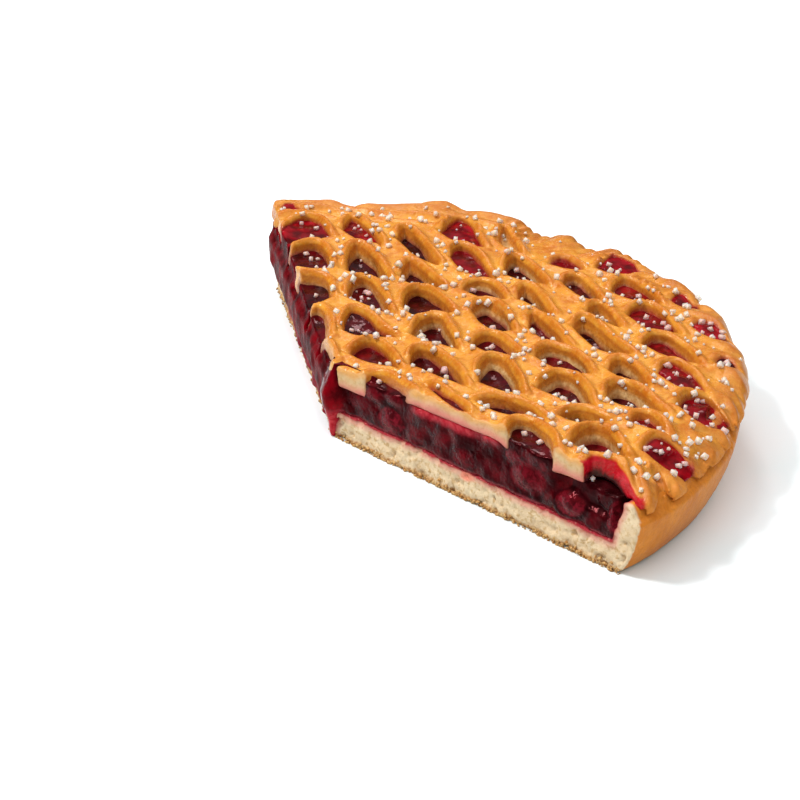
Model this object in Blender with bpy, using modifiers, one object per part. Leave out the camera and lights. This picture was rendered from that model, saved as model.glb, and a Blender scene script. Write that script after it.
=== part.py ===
"""Cherry lattice pie, as it stands after a wedge has been cut out of the round.

Three pieces run through the food to the two cut faces:
  crust           the baked base and the wall that stands up from it
  cherry_filling  cherries set in jelly, filling the crust up to the lattice
  lattice_top     one sheet of dough, slit and pulled open, laid over the top

Every piece is first made for the whole round pie and then cut by the same
two straight knife cuts, which meet close to the pie's centre. Lengths are in metres,
+Z is up. Each piece is modelled about the pie's centre, and all three hang on
one empty that puts the middle of the cut pie's footprint at the origin, with
the base standing on z = 0.
"""
import math
import random

import bmesh
import bpy

# ---------------------------------------------------------------- main sizes
MM = 0.001
R_FOOT = 131.5 * MM          # outer radius where the base meets the table
R_RIM = 140.0 * MM           # outer radius at the rim
H_RIM = 32.0 * MM            # height of the rim
CUT_MEET = (0.0 * MM, -3.8 * MM)   # the cuts meet here, a little off the centre
CUT_RIGHT = -44.8            # direction of the right-hand cut, degrees
CUT_LEFT = 101.7             # direction of the left-hand cut, degrees
GAP = 0.3 * MM               # clearance between two pieces that touch
FILL_GAP = 0.8 * MM          # the same under the lattice, whose sheet is bent

# crust
BASE_THICK = 10.0 * MM       # crumb under the filling
WALL_TOP = 25.2 * MM         # the wall ends here, under the lattice's edge
WALL_IN_FOOT = 127.5 * MM    # inner radius of the wall at the filling's floor
WALL_IN_TOP = 131.0 * MM     # inner radius of the wall at its top
FOOT_ROUND = 2.2 * MM        # rounded lower edge of the base
WALL_WAVE = 0.7 * MM         # how much the wall's outside waves in and out
WALL_STEPS = 108             # facets round the whole crust

# filling
FILL_STEPS = 72              # facets round the whole filling

# lattice
STRIP_BEVEL = 1.4 * MM       # chamfer of the strips' long edges
STRIP_MIN = 4.2 * MM         # narrowest strip between two slits
HOLE_LEN = 29.5 * MM         # a slit, once pulled open: tip to tip
HOLE_WID = 17.0 * MM         # and across its middle
HOLE_TURN = -55.0            # direction of the slits, degrees
HOLE_POINTED = 1.42          # 1 is an ellipse, 2 a straight-sided diamond
HOLE_SIDES = 12              # corners of one slit's outline
HOLE_R_MAX = 131.0 * MM      # the slits end here, short of the rim
HOLE_R_FREE = 118.0 * MM     # beyond this radius they shrink
R_SHEET = 134.5 * MM         # the slit sheet ends here, in the rim roll
LONGEST_EDGES = (22.0 * MM, 16.0 * MM)   # edges over this are halved, in turn

# the rim: the sheet's edge, pressed on to the wall and rolled over it
ROLL_IN = 131.8 * MM
ROLL_BUMPS = 27              # swellings where the strips run into the rim
ROLL_BUMP_H = 0.9 * MM
ROLL_STEPS = 108

# the rows of slits: centre = ROW_0 + i*ACROSS + j*DOWN, and the pull of the
# dough bends the rows a little (second-order terms)
ROW_0 = (-15.5, 137.9)
ACROSS = (20.15, -9.7)
DOWN = (1.7, -29.3)
BEND_II = (-0.10, -0.06)
BEND_IJ = (0.316, 0.713)
BEND_JJ = (0.012, 0.324)
UNEVEN = 1.1                 # spread of the slits' centres, mm
SEED = 11


# ----------------------------------------------------------------- helpers
def smooth(a, b, t):
    """0 below a, 1 above b, an S-curve between them."""
    t = min(1.0, max(0.0, (t - a) / (b - a)))
    return t * t * (3.0 - 2.0 * t)


def top_height(r):
    """Top of the lattice: dished, lowest at the centre, highest by the rim."""
    rise = smooth(0.0, 60 * MM, r) * 3.0 * MM + smooth(60 * MM, 115 * MM, r) * 1.6 * MM
    return 28.0 * MM + rise - smooth(112 * MM, 136 * MM, r) * 0.6 * MM


def strip_thickness(r):
    """The strips are thickest half-way out and thin where they meet the rim."""
    return (8.2 + 1.6 * smooth(0.0, 50 * MM, r) - 3.4 * smooth(85 * MM, 128 * MM, r)) * MM


def fill_height(r):
    """Underside of the lattice, where the filling ends."""
    return top_height(r) - strip_thickness(r)


def cut_end(degrees):
    """Angle, seen from the pie's centre, at which a cut leaves the rim."""
    dx, dy = math.cos(math.radians(degrees)), math.sin(math.radians(degrees))
    mx, my = CUT_MEET
    b = mx * dx + my * dy
    t = -b + math.sqrt(b * b - mx * mx - my * my + R_RIM * R_RIM)
    return math.atan2(my + t * dy, mx + t * dx)


def sector_middle():
    """Middle of the cut pie's footprint, seen from its centre."""
    xs, ys = [CUT_MEET[0]], [CUT_MEET[1]]
    first, last = cut_end(CUT_RIGHT), cut_end(CUT_LEFT)
    n = 720
    for k in range(n + 1):
        a = first + (last - first) * k / n
        xs.append(R_RIM * math.cos(a))
        ys.append(R_RIM * math.sin(a))
    return (min(xs) + max(xs)) / 2, (min(ys) + max(ys)) / 2


def material(name, colour, roughness):
    m = bpy.data.materials.new(name)
    m.use_nodes = True
    bsdf = m.node_tree.nodes["Principled BSDF"]
    bsdf.inputs["Base Color"].default_value = (*colour, 1.0)
    bsdf.inputs["Roughness"].default_value = roughness
    bsdf.inputs["Metallic"].default_value = 0.0
    m.diffuse_color = (*colour, 1.0)
    return m


def baked(obj):
    """The object's evaluated mesh, with its modifiers or curve settings in."""
    deps = bpy.context.evaluated_depsgraph_get()
    deps.update()
    return bpy.data.meshes.new_from_object(obj.evaluated_get(deps), depsgraph=deps)


def replace_by_mesh(obj, mesh, name, coll):
    world = obj.matrix_world.copy()
    bpy.data.objects.remove(obj)
    mesh.name = name
    new = bpy.data.objects.new(name, mesh)
    new.matrix_world = world
    coll.objects.link(new)
    return new


def turned(name, profile, steps, coll):
    """A solid of revolution about Z from an open profile at +X."""
    mesh = bpy.data.meshes.new(name + "_profile")
    verts = [(r, 0.0, z) for r, z in profile]
    mesh.from_pydata(verts, [(i, i + 1) for i in range(len(verts) - 1)], [])
    obj = bpy.data.objects.new(name + "_profile", mesh)
    coll.objects.link(obj)
    s = obj.modifiers.new("Turn", "SCREW")
    s.angle = math.tau
    s.steps = s.render_steps = steps
    s.screw_offset = 0.0
    s.use_merge_vertices = True
    s.merge_threshold = 0.00005
    s.use_smooth_shade = False
    return replace_by_mesh(obj, baked(obj), name, coll)


def cut_by_knife(obj, cutter):
    b = obj.modifiers.new("Knife cuts", "BOOLEAN")
    b.operation = "INTERSECT"
    b.solver = "EXACT"
    b.object = cutter


def shade(obj, degrees=40.0):
    obj.data.shade_smooth()
    obj.data.set_sharp_from_angle(angle=math.radians(degrees))


# ------------------------------------------------------------------- scene
for o in list(bpy.data.objects):
    bpy.data.objects.remove(o, do_unlink=True)

scene = bpy.context.scene
pie = bpy.data.collections.new("cherry_lattice_pie")
cutters = bpy.data.collections.new("cutters")
scene.collection.children.link(pie)
scene.collection.children.link(cutters)

mx, my = sector_middle()
centre = bpy.data.objects.new("pie_centre", None)
centre.empty_display_size = 0.02
centre.location = (-mx, -my, 0.0)
pie.objects.link(centre)


# ------------------------------------------------------- the two knife cuts
def knife_block():
    """A prism over the part of the pie that stays, its edge where the cuts meet."""
    outline = [CUT_MEET]
    n = 12
    reach = 1.25 * R_RIM
    for k in range(n + 1):
        a = math.radians(CUT_RIGHT + (CUT_LEFT - CUT_RIGHT) * k / n)
        outline.append((CUT_MEET[0] + reach * math.cos(a), CUT_MEET[1] + reach * math.sin(a)))
    curve = bpy.data.curves.new("knife", "CURVE")
    curve.dimensions = "2D"
    curve.fill_mode = "BOTH"
    curve.extrude = 0.06
    sp = curve.splines.new("POLY")
    sp.points.add(len(outline) - 1)
    for p, (x, y) in zip(sp.points, outline):
        p.co = (x, y, 0.0, 1.0)
    sp.use_cyclic_u = True
    tmp = bpy.data.objects.new("knife_outline", curve)
    cutters.objects.link(tmp)
    obj = replace_by_mesh(tmp, baked(tmp), "knife", cutters)
    bm = bmesh.new()
    bm.from_mesh(obj.data)
    bmesh.ops.remove_doubles(bm, verts=bm.verts, dist=0.00001)
    bmesh.ops.recalc_face_normals(bm, faces=bm.faces)
    bm.to_mesh(obj.data)
    bm.free()
    obj.parent = centre
    obj.hide_render = True
    obj.display_type = "WIRE"
    return obj


knife = knife_block()


# ------------------------------------------------------------------- crust
def crust_profile():
    pts = [(0.0, BASE_THICK), (WALL_IN_FOOT * 0.5, BASE_THICK),
           (WALL_IN_FOOT - 2.5 * MM, BASE_THICK),
           (WALL_IN_FOOT - 0.6 * MM, BASE_THICK + 0.8 * MM),
           (WALL_IN_FOOT + 0.4 * MM, BASE_THICK + 3.0 * MM),
           ((WALL_IN_FOOT + WALL_IN_TOP) / 2 + 0.4 * MM, (BASE_THICK + WALL_TOP) / 2),
           (WALL_IN_TOP, WALL_TOP)]
    # outside, from the rim down: it leans in towards the foot and bulges a little
    n = 5
    for k in range(n + 1):
        t = k / n
        z = WALL_TOP + (FOOT_ROUND - WALL_TOP) * t
        lean = R_RIM - 1.0 * MM + (R_FOOT + 0.6 * MM - R_RIM) * t
        pts.append((lean + 0.9 * MM * math.sin(math.pi * t), z))
    # rounded lower edge
    for k in range(1, 4):
        a = math.pi / 2 * k / 3
        pts.append((R_FOOT - FOOT_ROUND * (1 - math.cos(a)),
                    FOOT_ROUND * (1 - math.sin(a))))
    pts.append((R_FOOT * 0.5, 0.0))
    pts.append((0.0, 0.0))
    return pts


def wave_wall(obj):
    """The outside of the wall isn't quite round: low swellings by angle."""
    for v in obj.data.vertices:
        r = math.hypot(v.co.x, v.co.y)
        if r < WALL_IN_TOP + 0.5 * MM or v.co.z < 0.5 * MM:
            continue
        a = math.atan2(v.co.y, v.co.x)
        w = 0.6 * math.sin(7 * a + 0.4) + 0.4 * math.sin(19 * a + 1.9)
        k = 1.0 + WALL_WAVE * 0.6 * w * smooth(0.0, 8 * MM, v.co.z) / r
        v.co.x *= k
        v.co.y *= k


crust = turned("crust", crust_profile(), WALL_STEPS, pie)
wave_wall(crust)
crust.data.materials.append(material("crust", (0.66, 0.40, 0.16), 0.6))
cut_by_knife(crust, knife)
shade(crust, 45.0)


# ----------------------------------------------------------------- filling
def filling_profile():
    pts = []
    n = 13
    r_out = WALL_IN_TOP - 3.0 * MM
    for k in range(n + 1):
        r = r_out * k / n
        pts.append((r, fill_height(r) - FILL_GAP))
    z_shoulder = fill_height(r_out) - FILL_GAP
    pts.append((WALL_IN_TOP - 1.0 * MM - GAP, z_shoulder - 1.0 * MM))
    pts.append(((WALL_IN_FOOT + WALL_IN_TOP) / 2 - 0.2 * MM - GAP, (BASE_THICK + WALL_TOP) / 2))
    pts.append((WALL_IN_FOOT - 0.2 * MM - GAP, BASE_THICK + 3.0 * MM))
    pts.append((WALL_IN_FOOT - 1.3 * MM - GAP, BASE_THICK + 0.8 * MM + GAP))
    pts.append((WALL_IN_FOOT - 3.0 * MM, BASE_THICK + GAP))
    pts.append((WALL_IN_FOOT * 0.5, BASE_THICK + GAP))
    pts.append((0.0, BASE_THICK + GAP))
    return pts


filling = turned("cherry_filling", filling_profile(), FILL_STEPS, pie)
filling.data.materials.append(material("cherry_filling", (0.16, 0.012, 0.02), 0.15))
cut_by_knife(filling, knife)
shade(filling, 45.0)


# ----------------------------------------------------------------- lattice
def slit_centres():
    """Centres of all slits over the round, row by row."""
    rnd = random.Random(SEED)
    out = []
    for i in range(-1, 9):
        for j in range(-2, 11):
            dx, dy = rnd.uniform(-UNEVEN, UNEVEN), rnd.uniform(-UNEVEN, UNEVEN)
            x = (ROW_0[0] + i * ACROSS[0] + j * DOWN[0]
                 + BEND_II[0] * i * i + BEND_IJ[0] * i * j + BEND_JJ[0] * j * j + dx)
            y = (ROW_0[1] + i * ACROSS[1] + j * DOWN[1]
                 + BEND_II[1] * i * i + BEND_IJ[1] * i * j + BEND_JJ[1] * j * j + dy)
            out.append((x * MM, y * MM, rnd.random()))
    return out


def slit_outline(x, y, scale, turn):
    pts = []
    ct, st = math.cos(turn), math.sin(turn)
    for k in range(HOLE_SIDES):
        t = math.tau * k / HOLE_SIDES
        c, s = math.cos(t), math.sin(t)
        u = HOLE_LEN / 2 * scale * math.copysign(abs(c) ** HOLE_POINTED, c)
        v = HOLE_WID / 2 * scale * math.copysign(abs(s) ** HOLE_POINTED, s)
        px, py = x + u * ct - v * st, y + u * st + v * ct
        r = math.hypot(px, py)
        if r > HOLE_R_MAX:
            px, py = px * HOLE_R_MAX / r, py * HOLE_R_MAX / r
        pts.append((px, py))
    return pts


def near_the_cut_piece(x, y):
    """Slits far outside the part that stays would only be cut away."""
    x, y = x - CUT_MEET[0], y - CUT_MEET[1]
    a = math.degrees(math.atan2(y, x))
    r = math.hypot(x, y)
    side = min(abs(a - CUT_RIGHT), abs(a - CUT_LEFT))
    inside = CUT_RIGHT < a < CUT_LEFT
    return inside or r * math.sin(math.radians(min(90.0, side))) < 16 * MM


def point_gap(pts_a, pts_b):
    """Smallest distance from a corner of one outline to a side of the other."""
    best = 1.0
    for one, two in ((pts_a, pts_b), (pts_b, pts_a)):
        for px, py in one:
            for k in range(len(two)):
                ax, ay = two[k - 1]
                bx, by = two[k]
                dx, dy = bx - ax, by - ay
                t = ((px - ax) * dx + (py - ay) * dy) / max(dx * dx + dy * dy, 1e-12)
                t = min(1.0, max(0.0, t))
                best = min(best, math.hypot(px - ax - t * dx, py - ay - t * dy))
    return best


def slits():
    """Outlines of the slits; where two come too close, both are drawn in."""
    made = []
    for x, y, u in slit_centres():
        r = math.hypot(x, y)
        if not near_the_cut_piece(x, y) or r > HOLE_R_MAX - 1.0 * MM:
            continue
        scale = (0.92 + 0.16 * u) * (1.0 - 0.50 * smooth(HOLE_R_FREE - 8 * MM, HOLE_R_MAX + 2 * MM, r))
        made.append([x, y, scale, math.radians(HOLE_TURN + 10.0 * (u - 0.5))])
    for _ in range(14):
        outlines = [slit_outline(*m) for m in made]
        close = set()
        for a in range(len(made)):
            for b in range(a + 1, len(made)):
                if math.hypot(made[a][0] - made[b][0], made[a][1] - made[b][1]) > 1.8 * HOLE_LEN:
                    continue
                if point_gap(outlines[a], outlines[b]) < STRIP_MIN:
                    close.update((a, b))
        if not close:
            break
        for k in close:
            made[k][2] *= 0.95
    return outlines


def lattice_sheet():
    """The slit sheet: a flat outline with holes, then bent to the pie's top."""
    curve = bpy.data.curves.new("lattice_outline", "CURVE")
    curve.dimensions = "2D"
    curve.fill_mode = "BOTH"
    half = 4.0 * MM                         # re-scaled to the true thickness below
    curve.extrude = half - STRIP_BEVEL
    curve.bevel_depth = STRIP_BEVEL
    curve.bevel_resolution = 0
    curve.offset = -STRIP_BEVEL

    def spline(pts):
        sp = curve.splines.new("POLY")
        sp.points.add(len(pts) - 1)
        for p, (x, y) in zip(sp.points, pts):
            p.co = (x, y, 0.0, 1.0)
        sp.use_cyclic_u = True

    spline([(R_SHEET * math.cos(math.tau * k / ROLL_STEPS),
             R_SHEET * math.sin(math.tau * k / ROLL_STEPS)) for k in range(ROLL_STEPS)])
    for outline in slits():
        spline(outline)
    tmp = bpy.data.objects.new("lattice_outline", curve)
    pie.objects.link(tmp)
    obj = replace_by_mesh(tmp, baked(tmp), "lattice_top", pie)
    bm = bmesh.new()
    bm.from_mesh(obj.data)
    bmesh.ops.remove_doubles(bm, verts=bm.verts, dist=0.00002)
    bmesh.ops.recalc_face_normals(bm, faces=bm.faces)
    # long edges are halved, so that the flat sheet can bend
    bmesh.ops.triangulate(bm, faces=bm.faces, quad_method="BEAUTY", ngon_method="BEAUTY")
    for longest in LONGEST_EDGES:
        edges = [e for e in bm.edges if e.calc_length() > longest]
        bmesh.ops.subdivide_edges(bm, edges=edges, cuts=1)
        bmesh.ops.triangulate(bm, faces=[f for f in bm.faces if len(f.verts) > 3],
                              quad_method="BEAUTY", ngon_method="BEAUTY")
    for v in bm.verts:
        r = math.hypot(v.co.x, v.co.y)
        t = (v.co.z + half) / (2 * half)
        high = top_height(r)
        low = max(high - strip_thickness(r), smooth(124 * MM, 130 * MM, r) * (WALL_TOP + 2 * GAP))
        v.co.z = low + (high - low) * t
    bm.to_mesh(obj.data)
    bm.free()
    return obj


def rim_roll():
    """A turned ring with a rounded outer edge, swollen where strips meet it."""
    foot = WALL_TOP + GAP
    high = top_height(R_SHEET)
    r_out = R_RIM - ROLL_BUMP_H * 0.4
    round_out = [(r_out - 1.3 * MM, foot), (r_out - 0.2 * MM, foot + 0.9 * MM)]
    n = 4
    depth = high - foot - 2.2 * MM
    for k in range(n + 1):
        a = math.pi / 2 * k / n
        round_out.append((r_out - 5.2 * MM * (1 - math.cos(a)), foot + 2.4 * MM + depth * math.sin(a)))
    loop = [(ROLL_IN, high - 0.4 * MM)] + round_out[::-1] + [(ROLL_IN, foot)]
    mesh = bpy.data.meshes.new("rim_profile")
    mesh.from_pydata([(r, 0.0, z) for r, z in loop],
                     [(i, (i + 1) % len(loop)) for i in range(len(loop))], [])
    tmp = bpy.data.objects.new("rim_profile", mesh)
    cutters.objects.link(tmp)
    s = tmp.modifiers.new("Turn", "SCREW")
    s.angle = math.tau
    s.steps = s.render_steps = ROLL_STEPS
    s.screw_offset = 0.0
    s.use_merge_vertices = True
    s.merge_threshold = 0.00005
    s.use_smooth_shade = False
    obj = replace_by_mesh(tmp, baked(tmp), "rim_roll", cutters)
    for v in obj.data.vertices:
        a = math.atan2(v.co.y, v.co.x)
        up = smooth(foot + 1 * MM, high, v.co.z)
        beat = math.cos(ROLL_BUMPS * a + 0.8 * math.sin(3 * a))
        v.co.z += up * ROLL_BUMP_H * beat
        r = math.hypot(v.co.x, v.co.y)
        if r > R_SHEET:
            k = 1.0 + 0.4 * ROLL_BUMP_H * beat / r
            v.co.x *= k
            v.co.y *= k
    obj.parent = centre
    obj.hide_render = True
    obj.display_type = "WIRE"
    return obj


roll = rim_roll()
lattice = lattice_sheet()
lattice.data.materials.append(material("lattice_top", (0.72, 0.36, 0.10), 0.35))
join = lattice.modifiers.new("Rim roll", "BOOLEAN")
join.operation = "UNION"
join.solver = "EXACT"
join.object = roll
cut_by_knife(lattice, knife)
shade(lattice, 45.0)

for o in (crust, filling, lattice):
    o.parent = centre
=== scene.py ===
"""Looks of the cut cherry lattice pie: baked crust, cherries in jelly, glazed
lattice with coarse sugar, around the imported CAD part.

Shapes are worked out in millimetres about the round pie's centre. Each food
piece is a signed distance field on a grid, turned into a mesh, thinned and then
roughened. Pieces are placed in metres in the part's frame at the end.
"""

import math

import bpy
import bmesh
import numpy as np
from mathutils import Matrix, Vector


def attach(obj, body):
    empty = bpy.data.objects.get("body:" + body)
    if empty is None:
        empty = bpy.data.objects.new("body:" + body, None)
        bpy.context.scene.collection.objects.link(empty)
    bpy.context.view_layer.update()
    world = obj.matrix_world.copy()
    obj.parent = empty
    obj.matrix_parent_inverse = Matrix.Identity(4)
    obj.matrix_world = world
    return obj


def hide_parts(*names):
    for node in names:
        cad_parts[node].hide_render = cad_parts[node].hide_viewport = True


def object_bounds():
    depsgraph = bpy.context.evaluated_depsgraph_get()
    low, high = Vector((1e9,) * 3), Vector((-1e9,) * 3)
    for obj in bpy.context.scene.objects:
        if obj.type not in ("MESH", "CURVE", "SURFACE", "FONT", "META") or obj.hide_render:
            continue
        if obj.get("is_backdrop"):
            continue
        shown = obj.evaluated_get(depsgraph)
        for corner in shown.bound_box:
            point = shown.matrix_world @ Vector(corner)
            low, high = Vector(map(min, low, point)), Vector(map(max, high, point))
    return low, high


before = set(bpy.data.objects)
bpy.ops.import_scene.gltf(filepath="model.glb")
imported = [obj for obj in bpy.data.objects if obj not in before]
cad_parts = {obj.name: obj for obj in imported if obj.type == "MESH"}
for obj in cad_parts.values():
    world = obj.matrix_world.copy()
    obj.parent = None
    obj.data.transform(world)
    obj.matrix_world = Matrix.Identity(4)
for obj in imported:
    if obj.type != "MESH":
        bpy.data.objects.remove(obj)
cad_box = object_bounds()

# ------------------------------------------------------------- named sizes, mm
R_RIM = 140.0
H_RIM = 32.0
CUT_MEET = (0.0, -3.8)
CUT_RIGHT = -44.8
CUT_LEFT = 101.7
BASE = 10.0                   # crumb under the filling
STRIP_WEB = 4.2               # narrowest strip between two slits
CROWN = 2.5                   # rounding of the strips' edges
CROWN_WIDE = 1.1              # the rounding is wider than it is deep
SEAM = 24.2                   # the lattice's sheet rests on the wall here
SKIRT = 18.0                  # and laps down over its outside to here
GRID = 0.55
F = np.float32


def cut_end(degrees):
    dx, dy = math.cos(math.radians(degrees)), math.sin(math.radians(degrees))
    mx, my = CUT_MEET
    b = mx * dx + my * dy
    t = -b + math.sqrt(b * b - mx * mx - my * my + R_RIM * R_RIM)
    return mx + t * dx, my + t * dy


END_R, END_L = cut_end(CUT_RIGHT), cut_end(CUT_LEFT)
MID = ((min(END_L[0], 0.0) + R_RIM) / 2, (min(END_R[1], 0.0) + R_RIM) / 2)

# the slits of the lattice, each pulled open to an eye: left tip x, y, right tip
# x, y, where its far side is highest (x) and how far that is from the line
# between the tips, where its near side sags most (0 to 1) and by how much, how
# the far side rises from the left and right tips (under 1 steep), depth of the
# jelly under the crown, how red the jelly is painted (painted light and shade:
# bright red where lit through, near black deep in shade), how brown the walls
# are painted (baked colour with painted shade on walls out of the light), and 1
# or 2 where a knife cut opens the left or near side, 3 for a shallow fold
SLITS = {
    "A0": (-24.8, 129.4, -19.2, 125.2, -22.4, 8.2, 0.5, 1.6, 1, 1, 1.36, 1, 0.3, 0),
    "A1": (-25.9, 88.5, -5.6, 101.1, -16.6, 23.8, 0.5, 0, 0.4, 0.9, 2.08, 0.95, 0.35, 1),
    "A2": (-21.5, 76.5, -4.2, 73.5, -12.1, 19.9, 0.5, 2.4, 0.6, 0.6, 3.84, 0.5, 0.6, 1),
    "A3": (-19.7, 44, -3.2, 47.9, -14, 19.9, 0.4, 4, 0.5, 0.3, 4.08, 0.25, 0.5, 1),
    "A4": (-15.2, 17.6, -3.2, 19.1, -8.2, 20.8, 0.5, 0.8, 0.8, 0.5, 4.32, 0.6, 0.4, 1),
    "A5": (-12.4, -4.1, -1.1, 0.7, -7.1, 15.7, 0.5, 1.6, 0.7, 0.5, 3.84, 0.4, 0.3, 1),
    "B1": (-1, 108.1, 13.2, 96, 2.4, 14.4, 0.5, 3.2, 0.8, 1.3, 2.8, 0.9, 0.9, 0),
    "B2": (1.6, 73, 16.7, 65.1, 5.1, 22.9, 0.5, 0.8, 0.3, 1, 5.84, 0.2, 0.9, 0),
    "B3": (2.8, 48.3, 17.6, 35.4, 8.8, 21.1, 0.5, 0, 0.5, 0.8, 4.88, 0.4, 0.6, 0),
    "B4": (2.6, 23.2, 18.9, 18.6, 4.6, 13.7, 0.4, 3.2, 0.5, 1.7, 2.32, 0.35, 0.8, 0),
    "B5": (4.5, 5.8, 20.7, -6.2, 12.2, 13.1, 0.5, 2, 0.9, 0.7, 3.12, 0.7, 0.7, 0),
    "B6": (11, -14.7, 25.9, -29.5, 16.8, 5.7, 0.5, 9, 0.6, 0.6, 3.6, 0.35, 0.6, 2),
    "C1": (20.2, 100, 34.4, 78.2, 22.8, 12.3, 0.5, 4, 0.8, 1.4, 4.56, 0.1, 1, 0),
    "C2": (21.8, 68, 35.9, 58.9, 24.6, 13, 0.4, 4, 0.7, 1.3, 5.12, 0.1, 1, 0),
    "C3": (22.4, 40.2, 39.7, 35.4, 27.6, 16.7, 0.3, 5.6, 0.5, 1.1, 4.32, 0.2, 1, 0),
    "C4": (25.5, 20.6, 40.6, 6.8, 33.7, 21.1, 0.5, 1.6, 1.2, 0.8, 5.6, 0.3, 0.5, 0),
    "C5": (25.7, -5, 43.6, -25.3, 31.4, 15.5, 0.5, 0.8, 0.3, 0.6, 4.08, 0.4, 0.8, 0),
    "C6": (31.1, -24.1, 43.4, -44.7, 34.7, 2.3, 0.5, 2.4, 1, 1, 2.32, 0.4, 0.6, 0),
    "D0": (36, 108.8, 51.5, 94.1, 44.4, 22, 0.5, 4, 1.3, 0.9, 2.32, 1, 0.8, 0),
    "D1": (39.2, 85.4, 54.4, 68.1, 45.2, 13, 0.4, 6.4, 0.6, 0.8, 2.8, 0.85, 0.9, 0),
    "D2": (44.5, 56.6, 58.6, 48.2, 51.1, 9.8, 0.4, 3.2, 0.7, 0.7, 4.32, 0.3, 0.2, 0),
    "D3": (46.4, 39.1, 60.3, 20.9, 54, 16, 0.4, 8.8, 0.9, 0.6, 5.12, 0.3, 0.5, 0),
    "D4": (46.7, 9.7, 62.1, -1.5, 53.4, 11.1, 0.4, 4, 0.7, 1, 3.84, 0.4, 0.6, 0),
    "D5": (48.9, -21.3, 61.5, -30.2, 55, 21.8, 0.5, 2.4, 0.3, 0.6, 5.6, 0.3, 0.3, 0),
    "D6": (47.4, -36.2, 68.2, -51.2, 57.5, 6.7, 0.4, 4, 0.8, 0.8, 4.08, 0.2, 1, 0),
    "D7": (56.8, -60.2, 70.6, -73.9, 63.1, 14.1, 0.5, 9, 0.6, 0.6, 4.4, 0.4, 0.3, 2),
    "E0": (57.7, 101.4, 64.9, 91.9, 60.3, 16.7, 0.5, 2.4, 0.6, 0.9, 3.9, 0.4, 0.3, 3),
    "E1": (59.2, 71.6, 73.3, 61.1, 63.2, 15.3, 0.4, 2, 0.5, 1.1, 5.12, 0.2, 0.5, 0),
    "E2": (63.2, 49.1, 74.4, 35.4, 66.8, 14.3, 0.5, 0.8, 0.6, 1.2, 5.36, 0.2, 0.9, 0),
    "E3": (66, 23.6, 79.1, 8.6, 68.1, 14, 0.4, 2.4, 0.6, 1.2, 4.56, 0.5, 0.7, 0),
    "E4": (67.9, -0.4, 85.4, -12.8, 74.7, 14.4, 0.4, 4, 0.9, 0.6, 5.12, 0.6, 0.3, 0),
    "E5": (67.3, -24.6, 84.2, -38.9, 77.1, 19.2, 0.6, 3.2, 1.2, 0.6, 5.84, 0.4, 0.4, 0),
    "E6": (74.1, -47.4, 88.3, -51.2, 80.5, 6, 0.4, 4, 1, 1, 4.56, 0.2, 0.8, 0),
    "E7": (76.6, -67.8, 92.7, -76.1, 85.1, 14.6, 0.5, 3.2, 1.1, 0.7, 6.08, 0.6, 0.4, 0),
    "E8": (80.2, -83.4, 96.5, -99.6, 88.5, 12.6, 0.5, 9, 0.6, 0.6, 8.8, 1, 0.3, 2),
    "F0": (76.2, 80.1, 86.6, 75.1, 80.9, 7.2, 0.5, 0.8, 1, 1, 1.6, 0.8, 0.3, 0),
    "F1": (80.2, 62.9, 91.5, 47.2, 85.5, 10.7, 0.4, 5.6, 0.8, 0.8, 4.08, 0.5, 0.3, 0),
    "F2": (87.4, 36.8, 97.1, 24, 91.9, 9.9, 0.4, 1.6, 1, 0.9, 4.88, 0.2, 0.9, 0),
    "F3": (82.2, 23.5, 99.7, 1.6, 86, 10.2, 0.4, 7.2, 0.9, 1.2, 5.84, 0.15, 1, 0),
    "F4": (91.9, -9.7, 103.9, -23.3, 96.7, 11.6, 0.4, 2.4, 0.9, 0.8, 5.84, 0.2, 0.5, 0),
    "F5": (90.4, -33.6, 107.4, -43.7, 95.4, 13.7, 0.3, 3.2, 0.3, 0.9, 6.32, 0.2, 0.4, 0),
    "F6": (96, -51.1, 107.5, -59.3, 101.2, 8.9, 0.4, 2.4, 0.9, 0.8, 3.36, 0.9, 0.6, 0),
    "F7": (98.7, -70.7, 115.1, -76.9, 106.4, 11.8, 0.4, 1.6, 0.8, 0.6, 1.6, 1, 0.6, 0),
    "F8": (101.9, -81.5, 106.2, -94.2, 104.6, 9.3, 0.4, 2.4, 0.8, 1, 3.5, 0, 1, 3),
    "G0": (94, 76.1, 108.2, 75.2, 102.1, 16.4, 0.5, 4, 1, 1, 1.36, 1, 0.3, 0),
    "G1": (97, 55.3, 113, 45.1, 103.2, 14.8, 0.4, 3.2, 0.9, 0.8, 3.36, 0.9, 0.2, 0),
    "G2": (102.3, 34.3, 117.2, 19.9, 108.9, 12.6, 0.4, 7.2, 0.7, 0.9, 2.8, 0.9, 0.7, 0),
    "G3": (104, 9, 122.2, -4.1, 111.8, 13.1, 0.5, 2.4, 1, 0.8, 4.08, 0.9, 0.5, 0),
    "G4": (108.7, -12.9, 122.3, -24.4, 114.3, 11.2, 0.5, 4.8, 0.8, 0.8, 1.84, 1, 0.8, 0),
    "G5": (112.5, -37.2, 129.5, -43.1, 120.9, 14, 0.4, 5.6, 0.9, 0.6, 3.12, 0.95, 0.7, 0),
    "H1": (118, 49.7, 126.9, 41.7, 122.4, 7.9, 0.4, 2.4, 1, 1, 1.6, 1, 0.8, 0),
    "H2": (123.7, 26.1, 135.4, 15.6, 129, 8.7, 0.4, 3.2, 1, 1, 1.36, 1, 0.8, 0),
    "H3": (128.8, -2.3, 134.7, -4.7, 131.7, 5.1, 0.4, 1.6, 1, 1, 1.6, 0.3, 0.3, 0),
}
NAMES = list(SLITS)
LEVEL, RED_AND_LIT, BROWN_AND_SHADE, MODE = 10, 11, 12, 13

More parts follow.
